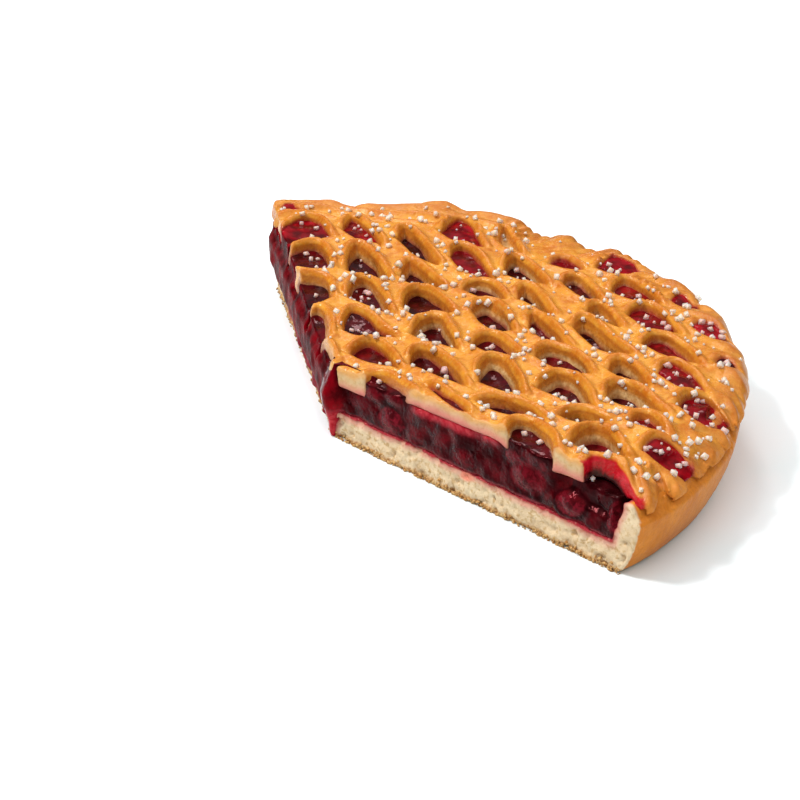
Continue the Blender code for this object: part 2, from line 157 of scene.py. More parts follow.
# how far the rim swells out where strips run into it: angle, mm
RIM_BUMPS = [(-60, 0.6), (-45, 0.4), (-38, 0.9), (-31, -0.3), (-25, 0.8), (-18, 0.2),
             (-10, 1.3), (-1, 0.8), (4, 0.9), (8, -0.5), (15, 0.6), (19, 0.4),
             (21, -1.4), (24.5, 1.4), (27.5, 1.7), (30.5, -0.4), (35.5, 0.2),
             (40, 0.4), (43, 1.1), (46, -1.7), (49.5, -1.2), (52.5, 0.7),
             (55, -2.2), (58.5, -2.0), (61.5, 1.6), (65, 2.1), (68, 1.2), (71, 0.2),
             (74, 2.3), (77, 1.6), (83, -0.4), (86.5, -0.2), (90, -1.2), (93, 0.0),
             (98, 0.4), (102, 0.4), (112, 0.0)]


# single folds over the rim at the right: height in mm (a groove if negative),
# width, points along it
RIM_LINES = (
    (-1.6, 1.1, ((127, -12), (129, -16), (133, -18), (135, -22))),
    (-1.6, 1, ((127, -31), (130, -35), (132, -40))),
    (-1, 0.8, ((117, -51), (122, -50), (127, -53))),
    (-2, 1.3, ((118, -63), (119, -67), (119, -74), (117, -78))),
    (-2.2, 1.3, ((102, -82), (106, -84), (107, -91), (105, -95))),
    (1.2, 1.2, ((100, -79), (105, -80), (109, -85), (109, -95))),
    (1.2, 1.2, ((119, -48), (126, -47), (129, -51), (129, -56))),
    (1.2, 1.3, ((117, -56), (122, -60), (122, -70), (119, -82))),
    (1.2, 1.2, ((97, -84), (100, -86), (101, -92), (100, -99))),
    (1, 1.2, ((125, -25), (130, -28), (133, -34))),
    (1, 1.2, ((122, -9), (128, -7), (133, -10), (136, -15))),
    (-1.4, 1, ((128, 10), (131, 7), (136, 5))),
    (1, 1.3, ((123, 37), (128, 34), (132, 27))),
    (-1.2, 1, ((113, 65), (117, 59), (125, 57))),
    (1, 1.2, ((109, 74), (114, 69), (119, 64))),
)


# ------------------------------------------------------------------- numerics
def smooth(a, b, t):
    t = np.clip((t - a) / (b - a), 0.0, 1.0)
    return t * t * (3.0 - 2.0 * t)


def weights(x, m):
    """Cubic B-spline weights of the positions x on m lattice points."""
    i = np.floor(x).astype(int)
    t = x - i
    w = np.zeros((len(x), m), F)
    parts = ((1 - t) ** 3 / 6, (3 * t ** 3 - 6 * t ** 2 + 4) / 6,
             (-3 * t ** 3 + 3 * t ** 2 + 3 * t + 1) / 6, t ** 3 / 6)
    rows = np.arange(len(x))
    for k, p in enumerate(parts):
        w[rows, np.clip(i + k, 0, m - 1)] += p.astype(F)
    return w


def axis_weights(axis, scale):
    x = (axis - axis[0]) / scale + 0.37
    return weights(x, int(x[-1]) + 5)


def grid_noise(axes, scale, seed):
    """Smooth noise, about -1 to 1, on the grid of two or three axes."""
    scales = scale if isinstance(scale, (tuple, list)) else [scale] * len(axes)
    ws = [axis_weights(a, s) for a, s in zip(axes, scales)]
    rng = np.random.default_rng(seed)
    v = rng.uniform(-1.0, 1.0, [w.shape[1] for w in ws]).astype(F)
    for k, w in enumerate(ws):
        v = np.moveaxis(np.tensordot(w, v, axes=(1, k)), 0, k)
    return v * F(2.1)


def point_noise(p, scale, seed, n=48):
    """Smooth noise at scattered points (N, 3), about -1 to 1."""
    rng = np.random.default_rng(seed)
    table = rng.uniform(-1.0, 1.0, (n, n, n)).astype(F)
    q = p / scale + 1000.0
    i = np.floor(q).astype(np.int64)
    t = (q - i).astype(F)
    t = t * t * (3 - 2 * t)
    out = np.zeros(len(p), F)
    for a in (0, 1):
        wa = t[:, 0] if a else 1 - t[:, 0]
        for b in (0, 1):
            wb = t[:, 1] if b else 1 - t[:, 1]
            for c in (0, 1):
                wc = t[:, 2] if c else 1 - t[:, 2]
                out += wa * wb * wc * table[(i[:, 0] + a) % n, (i[:, 1] + b) % n, (i[:, 2] + c) % n]
    return out


def round_inter(a, b, r):
    """Intersection of two fields with its edge rounded by r."""
    u = np.maximum(a + r, 0)
    v = np.maximum(b + r, 0)
    return np.minimum(np.maximum(a, b), -r) + np.sqrt(u * u + v * v)


def round_union(a, b, k):
    h = np.clip(0.5 + 0.5 * (b - a) / k, 0, 1)
    return b * (1 - h) + a * h - k * h * (1 - h)


def surface_net(f, origin, h):
    """Mesh of the zero surface of a field, negative inside: vertices in mm and quads."""
    inside = f < 0
    cnt = np.zeros([n - 1 for n in f.shape], np.int8)
    for a in (0, 1):
        for b in (0, 1):
            for c in (0, 1):
                cnt += inside[a:f.shape[0] - 1 + a, b:f.shape[1] - 1 + b, c:f.shape[2] - 1 + c]
    cells = np.argwhere((cnt > 0) & (cnt < 8)).astype(np.int32)
    index = np.full(cnt.shape, -1, np.int32)
    index[cells[:, 0], cells[:, 1], cells[:, 2]] = np.arange(len(cells))
    acc = np.zeros((len(cells), 3), F)
    num = np.zeros(len(cells), F)
    corners = {}

    def corner(o):
        if o not in corners:
            corners[o] = f[cells[:, 0] + o[0], cells[:, 1] + o[1], cells[:, 2] + o[2]]
        return corners[o]

    for axis in range(3):
        for u in (0, 1):
            for v in (0, 1):
                a = [0, 0, 0]
                others = [k for k in range(3) if k != axis]
                a[others[0]], a[others[1]] = u, v
                b = list(a)
                b[axis] = 1
                fa, fb = corner(tuple(a)), corner(tuple(b))
                m = (fa < 0) != (fb < 0)
                t = np.where(m, fa / np.where(m, fa - fb, 1), 0)
                p = np.zeros((len(cells), 3), F)
                p[:, others[0]], p[:, others[1]] = u, v
                p[:, axis] = t
                acc += p * m[:, None]
                num += m
    verts = (cells + acc / num[:, None]) * h + np.array(origin)
    quads = []
    for axis in range(3):
        s1, s2 = (axis + 1) % 3, (axis + 2) % 3
        lo = [slice(None)] * 3
        hi = [slice(None)] * 3
        lo[axis], hi[axis] = slice(0, -1), slice(1, None)
        a, b = inside[tuple(lo)], inside[tuple(hi)]
        e = np.argwhere(a != b)
        keep = np.ones(len(e), bool)
        for s in (s1, s2):
            keep &= (e[:, s] > 0) & (e[:, s] < f.shape[s] - 1)
        e = e[keep]
        flip = ~a[e[:, 0], e[:, 1], e[:, 2]]
        ring = []
        for d1, d2 in ((-1, -1), (0, -1), (0, 0), (-1, 0)):
            c = e.copy()
            c[:, s1] += d1
            c[:, s2] += d2
            ring.append(index[c[:, 0], c[:, 1], c[:, 2]])
        q = np.stack(ring, 1)
        q[flip] = q[flip][:, ::-1]
        quads.append(q)
    return verts, np.concatenate(quads)


def relax(verts, quads, rounds=1, amount=0.5):
    """A little smoothing, which removes the grid's steps."""
    for _ in range(rounds):
        acc = np.zeros_like(verts)
        num = np.zeros(len(verts))
        for k in range(4):
            a, b = quads[:, k], quads[:, (k + 1) % 4]
            for x, y in ((a, b), (b, a)):
                for c in range(3):
                    acc[:, c] += np.bincount(x, verts[y, c], len(verts))
                num += np.bincount(x, minlength=len(verts))
        mean = acc / np.maximum(num, 1)[:, None]
        verts = verts + (mean - verts) * amount
    return verts


# ----------------------------------------------------------------- plan fields
X_AXIS = np.arange(-34.0, 146.0, GRID).astype(F)
Y_AXIS = np.arange(-107.0, 146.0, GRID).astype(F)
X2, Y2 = np.meshgrid(X_AXIS, Y_AXIS, indexing="ij")
R2 = np.hypot(X2, Y2)
A2 = np.degrees(np.arctan2(Y2, X2))
XY = (X_AXIS, Y_AXIS)


def sample(field, x, y):
    """A plan field at scattered positions in mm."""
    u = np.clip((x - X_AXIS[0]) / GRID, 0, len(X_AXIS) - 1.001)
    v = np.clip((y - Y_AXIS[0]) / GRID, 0, len(Y_AXIS) - 1.001)
    i, j = u.astype(int), v.astype(int)
    s, t = u - i, v - j
    return ((field[i, j] * (1 - s) + field[i + 1, j] * s) * (1 - t)
            + (field[i, j + 1] * (1 - s) + field[i + 1, j + 1] * s) * t)


def blur(field, n):
    """Box blur over about 2n+1 cells, twice, along both axes."""
    for _ in range(2):
        for ax in (0, 1):
            pad = [(0, 0), (0, 0)]
            pad[ax] = (n + 1, n)
            c = np.cumsum(np.pad(field.astype(np.float64), pad, mode="edge"), axis=ax)
            lo = np.take(c, range(0, field.shape[ax]), axis=ax)
            hi = np.take(c, range(2 * n + 1, field.shape[ax] + 2 * n + 1), axis=ax)
            field = (hi - lo) / (2 * n + 1)
    return field.astype(F)


def slit_outline(row, n=12):
    """Corners of one slit: over the far side, then back along the near side."""
    xl, yl, xr, yr, xt, height, at, sag, pl, pr = row[:10]
    xb = xl + (xr - xl) * at
    near = 0.4 if row[MODE] == 2 else 1.0

    def place(x, off):
        return x, yl + (yr - yl) * (x - xl) / (xr - xl) + off

    pts = []
    rise = [1 - math.cos(math.pi / 2 * k / n) for k in range(n)]
    fall = [math.cos(math.pi / 2 * k / n) for k in range(n)]
    for s in rise:                          # left tip to the far side's top
        pts.append(place(xl + (xt - xl) * s, height * math.sin(math.pi / 2 * s) ** pl))
    for s in fall:                          # and down to the right tip
        pts.append(place(xr - (xr - xt) * s, height * math.sin(math.pi / 2 * s) ** pr))
    for s in rise:                          # back along the near side
        pts.append(place(xr - (xr - xb) * s, -sag * math.sin(math.pi / 2 * s) ** near))
    for s in fall:
        pts.append(place(xl + (xb - xl) * s, -sag * math.sin(math.pi / 2 * s) ** near))
    return pts


def polygon_distance(pts, x, y):
    d = np.full(x.shape, 1e9, F)
    sign = np.ones(x.shape, bool)
    n = len(pts)
    for k in range(n):
        ax, ay = pts[k]
        bx, by = pts[k - 1]
        ex, ey = bx - ax, by - ay
        wx, wy = x - ax, y - ay
        t = np.clip((wx * ex + wy * ey) / max(ex * ex + ey * ey, 1e-9), 0, 1)
        d = np.minimum(d, (wx - ex * t) ** 2 + (wy - ey * t) ** 2)
        c1, c2, c3 = y >= ay, y < by, ex * wy > ey * wx
        flip = (c1 & c2 & c3) | (~c1 & ~c2 & ~c3)
        sign ^= flip
    return np.where(sign, 1, -1) * np.sqrt(d)


def slit_fields():
    """Distance to the nearest slit, to the second nearest, and the nearest one's number."""
    best = np.full(X2.shape, 60.0, F)
    second = np.full(X2.shape, 60.0, F)
    owner = np.zeros(X2.shape, np.int16)
    for n, name in enumerate(NAMES):
        row = SLITS[name]
        pts = slit_outline(row)
        reach = 16.0
        xs, ys = [p[0] for p in pts], [p[1] for p in pts]
        i0, i1 = np.searchsorted(X_AXIS, [min(xs) - reach, max(xs) + reach])
        j0, j1 = np.searchsorted(Y_AXIS, [min(ys) - reach, max(ys) + reach])
        w = (slice(i0, i1), slice(j0, j1))
        d = polygon_distance(pts, X2[w], Y2[w])
        b, s, o = best[w], second[w], owner[w]
        nearer = d < b
        second[w] = np.where(nearer, b, np.minimum(s, d))
        best[w] = np.where(nearer, d, b)
        owner[w] = np.where(nearer, n, o)
    return best, second, owner


S1, S2, OWNER = slit_fields()
# where two slits would meet, both draw back and a strip stays between them
SLIT = S1 + np.maximum(0, (STRIP_WEB - (S1 + S2)) / 2)
SLIT = SLIT + 0.35 * grid_noise(XY, 6.0, 3) + 0.05 * grid_noise(XY, 2.4, 4) + 0.25 * grid_noise(XY, 10.0, 5)
# the slits stop short of the rim, whose dough closes round them
SLIT = np.maximum(SLIT, np.minimum(R2 - 135.0, 40.0))
SLIT = SLIT.astype(F)


def by_slit(column):
    return np.array([SLITS[n][column] for n in NAMES], F)[OWNER]


BUMP = np.interp(A2, [b[0] for b in RIM_BUMPS], [b[1] for b in RIM_BUMPS]).astype(F)
BUMP = blur(BUMP, 3)
RIM_MIX = smooth(118, 136, R2)


def crown_height():
    """Top of the lattice before slits and rim: dished, and as uneven as dough."""
    r = R2
    t = 28.0 + 3.0 * smooth(0, 60, r) + 1.6 * smooth(60, 115, r) - 0.6 * smooth(112, 136, r)
    t = t + 0.55 * grid_noise(XY, 22.0, 21) + 0.30 * grid_noise(XY, 9.0, 22)
    t = t + 0.16 * grid_noise(XY, 4.0, 23)
    # towards the right-hand end of the cut the rim slopes down
    t = t - 6.0 * smooth(118, 137, r) * (1 - smooth(-32, 8, A2))
    return (t + 1.0 * BUMP * RIM_MIX).astype(F)


def chord(row):
    """Middle, half length and direction of the line between a slit's tips."""
    xl, yl, xr, yr = row[:4]
    return ((xl + xr) / 2, (yl + yr) / 2, math.hypot(xr - xl, yr - yl) / 2,
            math.atan2(yr - yl, xr - xl))


def crease_depth():
    """Short folds that run on from the tips of the slits between the strips."""
    out = np.zeros(X2.shape, F)
    rng = np.random.default_rng(31)
    for name in NAMES:
        cx, cy, a, turn = chord(SLITS[name])
        for side in (-1, 1):
            ang = turn + math.radians(rng.uniform(-16, 10)) + (math.pi if side < 0 else 0)
            length = rng.uniform(4.5, 11.5)
            depth = rng.uniform(0.7, 2.0)
            bend = rng.uniform(-0.03, 0.03)
            if SLITS[name][MODE] in (1, 2):
                continue
            x0 = cx + side * (a - 1.2) * math.cos(turn)
            y0 = cy + side * (a - 1.2) * math.sin(turn)
            dx, dy = math.cos(ang), math.sin(ang)
            u = (X2 - x0) * dx + (Y2 - y0) * dy
            v = -(X2 - x0) * dy + (Y2 - y0) * dx
            v = v - bend * u * u
            w = 0.75 + 0.05 * np.clip(u, 0, 10)
            g = depth * np.exp(-(v / w) ** 2) * smooth(-1.5, 0.5, u) * (1 - smooth(length * 0.3, length, u))
            out = np.maximum(out, g.astype(F))
    return out


def far_side():
    """1 on the far side of the nearest slit, 0 on its near side."""
    col = lambda k: np.array([SLITS[n][k] for n in NAMES], F)[OWNER]
    ex, ey = col(2) - col(0), col(3) - col(1)
    v = (ex * (Y2 - col(1)) - ey * (X2 - col(0))) / np.hypot(ex, ey)
    return smooth(-1.0, 3.5, v)


def rim_folds():
    """Folds of the strips' ends over the rim: short ones that run down it in
    patches at the right, long ones nearly along it at the back."""
    arc = np.radians(A2) * R_RIM
    wave = 0.75 * grid_noise(XY, 15.0, 25)
    patch = smooth(-0.35, 0.45, grid_noise(XY, 17.0, 26))
    short = np.sin(2 * math.pi * (arc / 5.4 + (R2 - 126) / 8.0 + wave))
    long = np.sin(2 * math.pi * ((R2 - 112) / 6.6 - arc / 58.0 + 0.6 * wave))
    back = smooth(52, 68, A2)
    g = (short * patch * (1 - back) * 0.95 + long * (0.35 + 0.65 * patch) * back * 0.80)
    g = 1.25 * g * smooth(118 - 4 * back, 128 - 4 * back, R2)
    for height, width, pts in RIM_LINES:
        d = np.full(X2.shape, 1e9, F)
        for (ax, ay), (bx, by) in zip(pts[:-1], pts[1:]):
            ex, ey = bx - ax, by - ay
            t = np.clip(((X2 - ax) * ex + (Y2 - ay) * ey) / (ex * ex + ey * ey), 0, 1)
            d = np.minimum(d, (X2 - ax - ex * t) ** 2 + (Y2 - ay - ey * t) ** 2)
        g = g + 0.8 * height * np.exp(-d / (1.6 * width) ** 2)
    return (g * smooth(0.6, 2.8, SLIT)).astype(F)


TOP = crown_height()
CREASE = crease_depth()
FOLDS = rim_folds()
TOP = TOP + FOLDS
FAR = far_side()
# the dough stands up in a roll round each slit, most on its far side
ROLL = (0.28 + 1.05 * FAR) * (1.0 + 0.45 * grid_noise(XY, 8.0, 27)) * np.exp(-((SLIT - 1.8) / 1.40) ** 2) * (1 - smooth(124, 131, R2))
VALLEY = 0.80 * smooth(2.8, 5.4, SLIT) * (1 - smooth(122, 130, R2))
TOP = (TOP - CREASE + ROLL - VALLEY).astype(F)
CREASE = (CREASE - ROLL + VALLEY).astype(F)
# the lip is crisper on the far side, whose wall leans out over the jelly's edge
LIP = (CROWN - 1.35 * FAR).astype(F)
LEAN = (0.03 + 0.17 * FAR).astype(F)
FOLD = np.where(by_slit(MODE) == 3, by_slit(LEVEL), 99.0).astype(F)
# over the wall the slits are only pits in the dough
PIT = (1.9 + 12.0 * (1 - smooth(125.5, 130.0, R2))
       + 12.0 * (OWNER == NAMES.index("E8")) * (1 - smooth(131.5, 133.5, R2))).astype(F)
# rounding of the rim's outer edge, softer where it slopes
CUT_ROUND = F(1.5)
RIM_ROUND = (4.6 + 4.0 * (1 - smooth(-10, 25, A2))).astype(F)
THICK = (8.4 + 1.4 * smooth(0.0, 50, R2) - 2.6 * smooth(85, 128, R2)).astype(F)


def cut_line(degrees, side):
    """Signed distance beyond one knife cut, positive on the side taken away."""
    a = math.radians(degrees)
    return side * ((X2 - CUT_MEET[0]) * math.sin(a) - (Y2 - CUT_MEET[1]) * math.cos(a))


CUT_R = cut_line(CUT_RIGHT, 1).astype(F)
CUT_L = cut_line(CUT_LEFT, -1).astype(F)
CUT = np.maximum(CUT_R, CUT_L)
# distance along each cut from where they meet
ALONG_R = ((X2 - CUT_MEET[0]) * math.cos(math.radians(CUT_RIGHT))
           + (Y2 - CUT_MEET[1]) * math.sin(math.radians(CUT_RIGHT))).astype(F)


# the strip that the right-hand cut runs along is thinner, with jelly under it
THICK = (THICK - 3.4 * smooth(-11, -6, CUT_R) * smooth(24, 34, ALONG_R) * (1 - smooth(74, 84, ALONG_R))).astype(F)


ALONG_L = ((X2 - CUT_MEET[0]) * math.cos(math.radians(CUT_LEFT))
           + (Y2 - CUT_MEET[1]) * math.sin(math.radians(CUT_LEFT))).astype(F)


def wall_radius(z):
    """Outside of the wall at height z: it leans in towards the foot."""
    return 131.6 + 8.0 * (1 - np.exp(-z / 13.0)) / (1 - math.exp(-30 / 13.0))


WALL_WAVE = (0.5 * np.sin(np.radians(A2) * 7 + 0.4) + 0.25 * np.sin(np.radians(A2) * 19 + 1.9)).astype(F)


def edge_folds():
    """The folds' height where they reach the rim's edge, by angle only."""
    x, y = 134.0 * np.cos(np.radians(A2)), 134.0 * np.sin(np.radians(A2))
    return sample(FOLDS, x, y).astype(F)


EDGE_FOLDS = edge_folds()


def rim_outer(z):
    """Plan field: the outer radius at height z, with the rim's swellings and folds."""
    up = smooth(20.0, 27.0, z)
    return (wall_radius(z) - 0.3 + WALL_WAVE * smooth(0, 8, z) + 0.8 * BUMP * up
            + 0.40 * EDGE_FOLDS * smooth(18.0, 25.0, z))


# ---------------------------------------------------------------- lattice field
def lattice_field():
    z_axis = np.arange(16.0, 37.0, GRID).astype(F)
    axes = (X_AXIS, Y_AXIS, z_axis)
    f = np.empty((len(X_AXIS), len(Y_AXIS), len(z_axis)), F)
    wob = grid_noise(axes, (5.0, 5.0, 3.5), 41)
    fine = grid_noise(axes, 1.6, 42)
    torn = grid_noise(axes, 2.6, 43)
    # wide webs keep a flatter crown than the ropes between two slits
    bottom = TOP + CREASE - THICK
    # beyond the slits the sheet rests on the wall
    on_wall = smooth(126, 131, R2)
    q = np.clip(R2 - rim_outer(24.0) + RIM_ROUND, 0, RIM_ROUND)
    surface = TOP - RIM_ROUND + np.sqrt(np.maximum(RIM_ROUND ** 2 - q ** 2, 0))
    floor_z = bottom * (1 - on_wall) + np.minimum(SEAM, surface - 3.8) * on_wall
    floor_z = floor_z.astype(F)
    for k, z in enumerate(z_axis):
        depth = TOP - z
        hole = -(SLIT + LEAN * np.clip(depth - 1.0, 0, 7)
                 + (0.50 + 0.35 * smooth(2, 6, depth)) * wob[:, :, k] * smooth(0.5, 4, depth)
                 + 0.05 * fine[:, :, k] * smooth(2, 5, depth))
        hole = np.minimum(hole, FOLD - depth)
        rim = R2 - rim_outer(z) - 0.32 * (2 * float(smooth(SKIRT, SKIRT + 4.6, z)) - 1)
        rounded = round_inter(z - TOP, rim, RIM_ROUND)
        hole = np.minimum(hole, rounded + PIT)
        a = z - TOP
        g = round_inter(a, hole / CROWN_WIDE, LIP)
        # a thin skirt laps over the wall's top, so that no seam shows
        under = np.where((R2 > wall_radius(z) - 1.9) & (CUT < -1.0), F(SKIRT), floor_z) - z
        g = np.maximum(g, round_inter(under, hole, 1.2))
        g = round_inter(g, rim, RIM_ROUND) if z > 18.5 else np.maximum(g, rim)
        g = np.maximum(g, under)
        # the knife tore the strips on the left; on the right they are cut clean
        edge = (CUT + np.where(CUT_L > CUT_R, -0.9, -0.10) + np.where(CUT_L > CUT_R, 1.3, 0.45) * wob[:, :, k]
                + np.where(CUT_L > CUT_R, 0.85, 0.24) * torn[:, :, k] + 0.14 * fine[:, :, k])
        f[:, :, k] = round_inter(g, edge.astype(F), CUT_ROUND)
    return f, (X_AXIS[0], Y_AXIS[0], z_axis[0])


# --------------------------------------------------------------- mesh utilities
def to_object(name, verts, faces, budget=None, smooth_shade=True):
    """A Blender object from vertices in mm about the pie's centre."""
    me = bpy.data.meshes.new(name)
    v = np.asarray(verts, np.float64).copy()
    v[:, 0] -= MID[0]
    v[:, 1] -= MID[1]
    v *= 0.001
    n, k = faces.shape
    me.vertices.add(len(v))
    me.vertices.foreach_set("co", v.astype(F).ravel())
    me.loops.add(n * k)
    me.loops.foreach_set("vertex_index", faces.astype(np.int32).ravel())
    me.polygons.add(n)
    me.polygons.foreach_set("loop_start", np.arange(0, n * k, k, dtype=np.int32))
    me.polygons.foreach_set("loop_total", np.full(n, k, np.int32))
    me.update(calc_edges=True)
    me.validate()
    ob = bpy.data.objects.new(name, me)
    bpy.context.scene.collection.objects.link(ob)
    tris = n * (k - 2)
    if budget and tris > budget:
        mod = ob.modifiers.new("thin", "DECIMATE")
        mod.ratio = budget / tris
        deps = bpy.context.evaluated_depsgraph_get()
        deps.update()
        new = bpy.data.meshes.new_from_object(ob.evaluated_get(deps), depsgraph=deps)
        ob.modifiers.clear()
        ob.data = new
        bpy.data.meshes.remove(me)
        new.name = name
    if smooth_shade:
        ob.data.shade_smooth()
    return ob


def coords_mm(ob):
    co = np.zeros(len(ob.data.vertices) * 3, F)
    ob.data.vertices.foreach_get("co", co)
    co = co.reshape(-1, 3).astype(np.float64) * 1000.0
    co[:, 0] += MID[0]
    co[:, 1] += MID[1]
    return co


def normals(ob):
    no = np.zeros(len(ob.data.vertices) * 3, F)
    ob.data.vertex_normals.foreach_get("vector", no)
    return no.reshape(-1, 3)


def set_coords(ob, co):
    v = np.asarray(co, np.float64).copy()
    v[:, 0] -= MID[0]
    v[:, 1] -= MID[1]
    ob.data.vertices.foreach_set("co", (v * 0.001).astype(F).ravel())
    ob.data.update()


def attribute(ob, name, values):
    at = ob.data.attributes.get(name) or ob.data.attributes.new(name, "FLOAT", "POINT")
    at.data.foreach_set("value", np.clip(values, 0, 1).astype(F))


def keep_biggest(ob, smallest=200):
    """Drops loose crumbs of mesh left by the field."""
    me = ob.data
    n = len(me.vertices)
    e = np.zeros(len(me.edges) * 2, np.int32)
    me.edges.foreach_get("vertices", e)
    e = e.reshape(-1, 2)
    label = np.arange(n)
    while True:
        lo = np.minimum(label[e[:, 0]], label[e[:, 1]])
        new = label.copy()
        np.minimum.at(new, e[:, 0], lo)
        np.minimum.at(new, e[:, 1], lo)
        new = new[new]
        if (new == label).all():
            break
        label = new
    ids, inv, count = np.unique(label, return_inverse=True, return_counts=True)
    bad = count[inv] < smallest
    if bad.any():
        bm = bmesh.new()
        bm.from_mesh(me)
        bm.verts.ensure_lookup_table()
        bmesh.ops.delete(bm, geom=[bm.verts[i] for i in np.flatnonzero(bad)], context="VERTS")
        bm.to_mesh(me)
        bm.free()


# ------------------------------------------------------------------ the lattice
def build_lattice():
    f, origin = lattice_field()
    verts, quads = surface_net(f, origin, GRID)
    verts = relax(verts, quads, 1, 0.45)
    ob = to_object("lattice", verts, quads, budget=192000)
    keep_biggest(ob)
    co, no = coords_mm(ob), normals(ob)
    x, y, z = co.T
    s, top = sample(SLIT, x, y), sample(TOP, x, y)
    depth = top - z
    r = np.hypot(x, y)
    cut_r, cut_l = sample(CUT_R, x, y), sample(CUT_L, x, y)
    ar, al = math.radians(CUT_RIGHT), math.radians(CUT_LEFT)
    face_r = no[:, 0] * math.sin(ar) - no[:, 1] * math.cos(ar)
    face_l = -(no[:, 0] * math.sin(al) - no[:, 1] * math.cos(al))
    on_cut = np.maximum(smooth(-1.1, -0.3, cut_r) * smooth(0.35, 0.7, face_r),
                        smooth(-2.2, -0.6, cut_l) * smooth(0.35, 0.7, face_l) * 0.35)
    on_cut *= 1 - smooth(0.55, 0.85, no[:, 2])
    n1 = point_noise(co, 3.2, 51)
    n2 = point_noise(co, 7.5, 52)
    # how brown each slit's walls are painted: baked colour with painted shade on walls out of the light
    brown = sample(by_slit(BROWN_AND_SHADE), x, y)
    near_slit = (1 - smooth(1.4, 2.8, s)) * (1 - smooth(134.5, 136.0, r))
    edge = smooth(0.45, 1.1, depth + 0.25 * n1) * near_slit * (1 - smooth(1.8, 3.2, depth + 0.4 * n2))
    pale0 = 1.1 + 0.7 * brown + 0.25 * n1 + 0.3 * n2
    pale = smooth(pale0 - 0.3, pale0 + 2.7 + 1.2 * brown, depth) * near_slit
    attribute(ob, "brown", np.clip(brown + 0.25 * n2, 0, 1) * pale)
    total = (TOP + 0.0).astype(F)
    hollow = sample(blur(total, 5) - total, x, y)
    level = sample(by_slit(LEVEL), x, y) + 20 * sample((by_slit(MODE) == 3).astype(F), x, y)
    red_and_lit = sample(by_slit(RED_AND_LIT), x, y)
    above = level - depth                      # mm above the jelly
    stain = (1 - smooth(0.2, 1.7, above + 0.5 * n1)) * near_slit * (0.55 + 0.45 * red_and_lit) * (1 - on_cut)
    # the strips' feet at the cuts have drunk some juice
    foot = depth - sample(THICK, x, y) - 20 * smooth(124, 127, r)
    attribute(ob, "blush", on_cut * smooth(-5.2, -1.2, foot + 0.7 * n1 + 0.9 * n2) * 0.85)
    attribute(ob, "skin", on_cut * (1 - smooth(1.0, 3.2, depth + 0.8 * n1 + 0.6 * n2)))
    stain = np.maximum(stain, on_cut * smooth(-1.3, 0.4, foot + 0.5 * n1 + 0.5 * n2) * 0.8)
    # the slit that the right-hand end of the cut opens: its wall is glazed with
    # bright jelly, and under that the hollow is painted near black, as painted shade
    end = sample((OWNER == NAMES.index("E8")).astype(F), x, y)
    end = end * (1 - smooth(1.6, 2.6, s)) * (1 - on_cut * (1 - smooth(119, 123, sample(ALONG_R, x, y))))
    glaze = end * smooth(0.2, 0.9, depth + 0.3 * n1)
    painted_shade = end * smooth(4.6, 5.6, depth + 0.5 * n1)
    # painted shade also at the foot of the walls just above jelly painted dark
    attribute(ob, "painted_shade", np.maximum(painted_shade, (1 - smooth(-0.6, 1.0, above)) * (1 - red_and_lit) * near_slit * (1 - on_cut)))
    attribute(ob, "hollow", smooth(0.0, 0.9, hollow) * (1 - edge))
    attribute(ob, "crown", smooth(0.05, 0.6, -hollow) * (1 - edge))
    attribute(ob, "edge", edge)
    attribute(ob, "pale", pale)
    attribute(ob, "stain", stain)
    attribute(ob, "cut", on_cut * (1 - smooth(112, 122, sample(ALONG_L, x, y)) * (cut_l > cut_r)))
    attribute(ob, "glaze", glaze)
    attribute(ob, "rim", smooth(122, 136, r + n2))
    attribute(ob, "side", (1 - smooth(23.5, 28.0, z + 1.2 * n2)) * smooth(133, 136, r))
    co += no * (0.05 * point_noise(co, 0.9, 53) + 0.07 * point_noise(co, 2.0, 54))[:, None]
    set_coords(ob, co)
    return ob


# ---------------------------------------------------------------------- filling
def along(cut, r, inward, z):
    """A point r mm along a cut from where the cuts meet, and so far inside it."""
    a = math.radians(cut)
    nx, ny = (-math.sin(a), math.cos(a)) if cut == CUT_RIGHT else (math.sin(a), -math.cos(a))
    return (CUT_MEET[0] + r * math.cos(a) + inward * nx,
            CUT_MEET[1] + r * math.sin(a) + inward * ny, z)


# cherries that the right-hand cut shows: mm from where the cuts meet, height,
# half width, half height, how far the middle lies inside, how bare the flesh is
AT_CUT = ((27, 15.5, 7.2, 5.5, 6.1, 1.0), (38, 14.2, 6.4, 4.4, 6.1, 0.35), (11, 17.5, 6.2, 4.4, 5.8, 0.2),
          (19, 22.0, 5.6, 3.2, 4.6, 0.3), (28, 23.6, 6.0, 2.8, 5.4, 0.3), (50, 17.5, 6.2, 4.0, 6.2, 0.2),
          (61, 14.6, 6.8, 4.2, 6.8, 0.3), (76, 16.0, 6.8, 4.6, 6.8, 0.15), (89, 18.0, 9.6, 6.8, 8.3, 0.6),
          (82, 23.0, 4.6, 3.2, 4.6, 0.5), (92.5, 24.4, 5.4, 3.0, 5.4, 0.4), (107.0, 15.8, 7.0, 4.9, 5.4, 1.0),
          (116.5, 13.8, 4.6, 3.2, 4.8, 0.2), (126.0, 18.0, 4.9, 6.6, 3.9, 1.0))


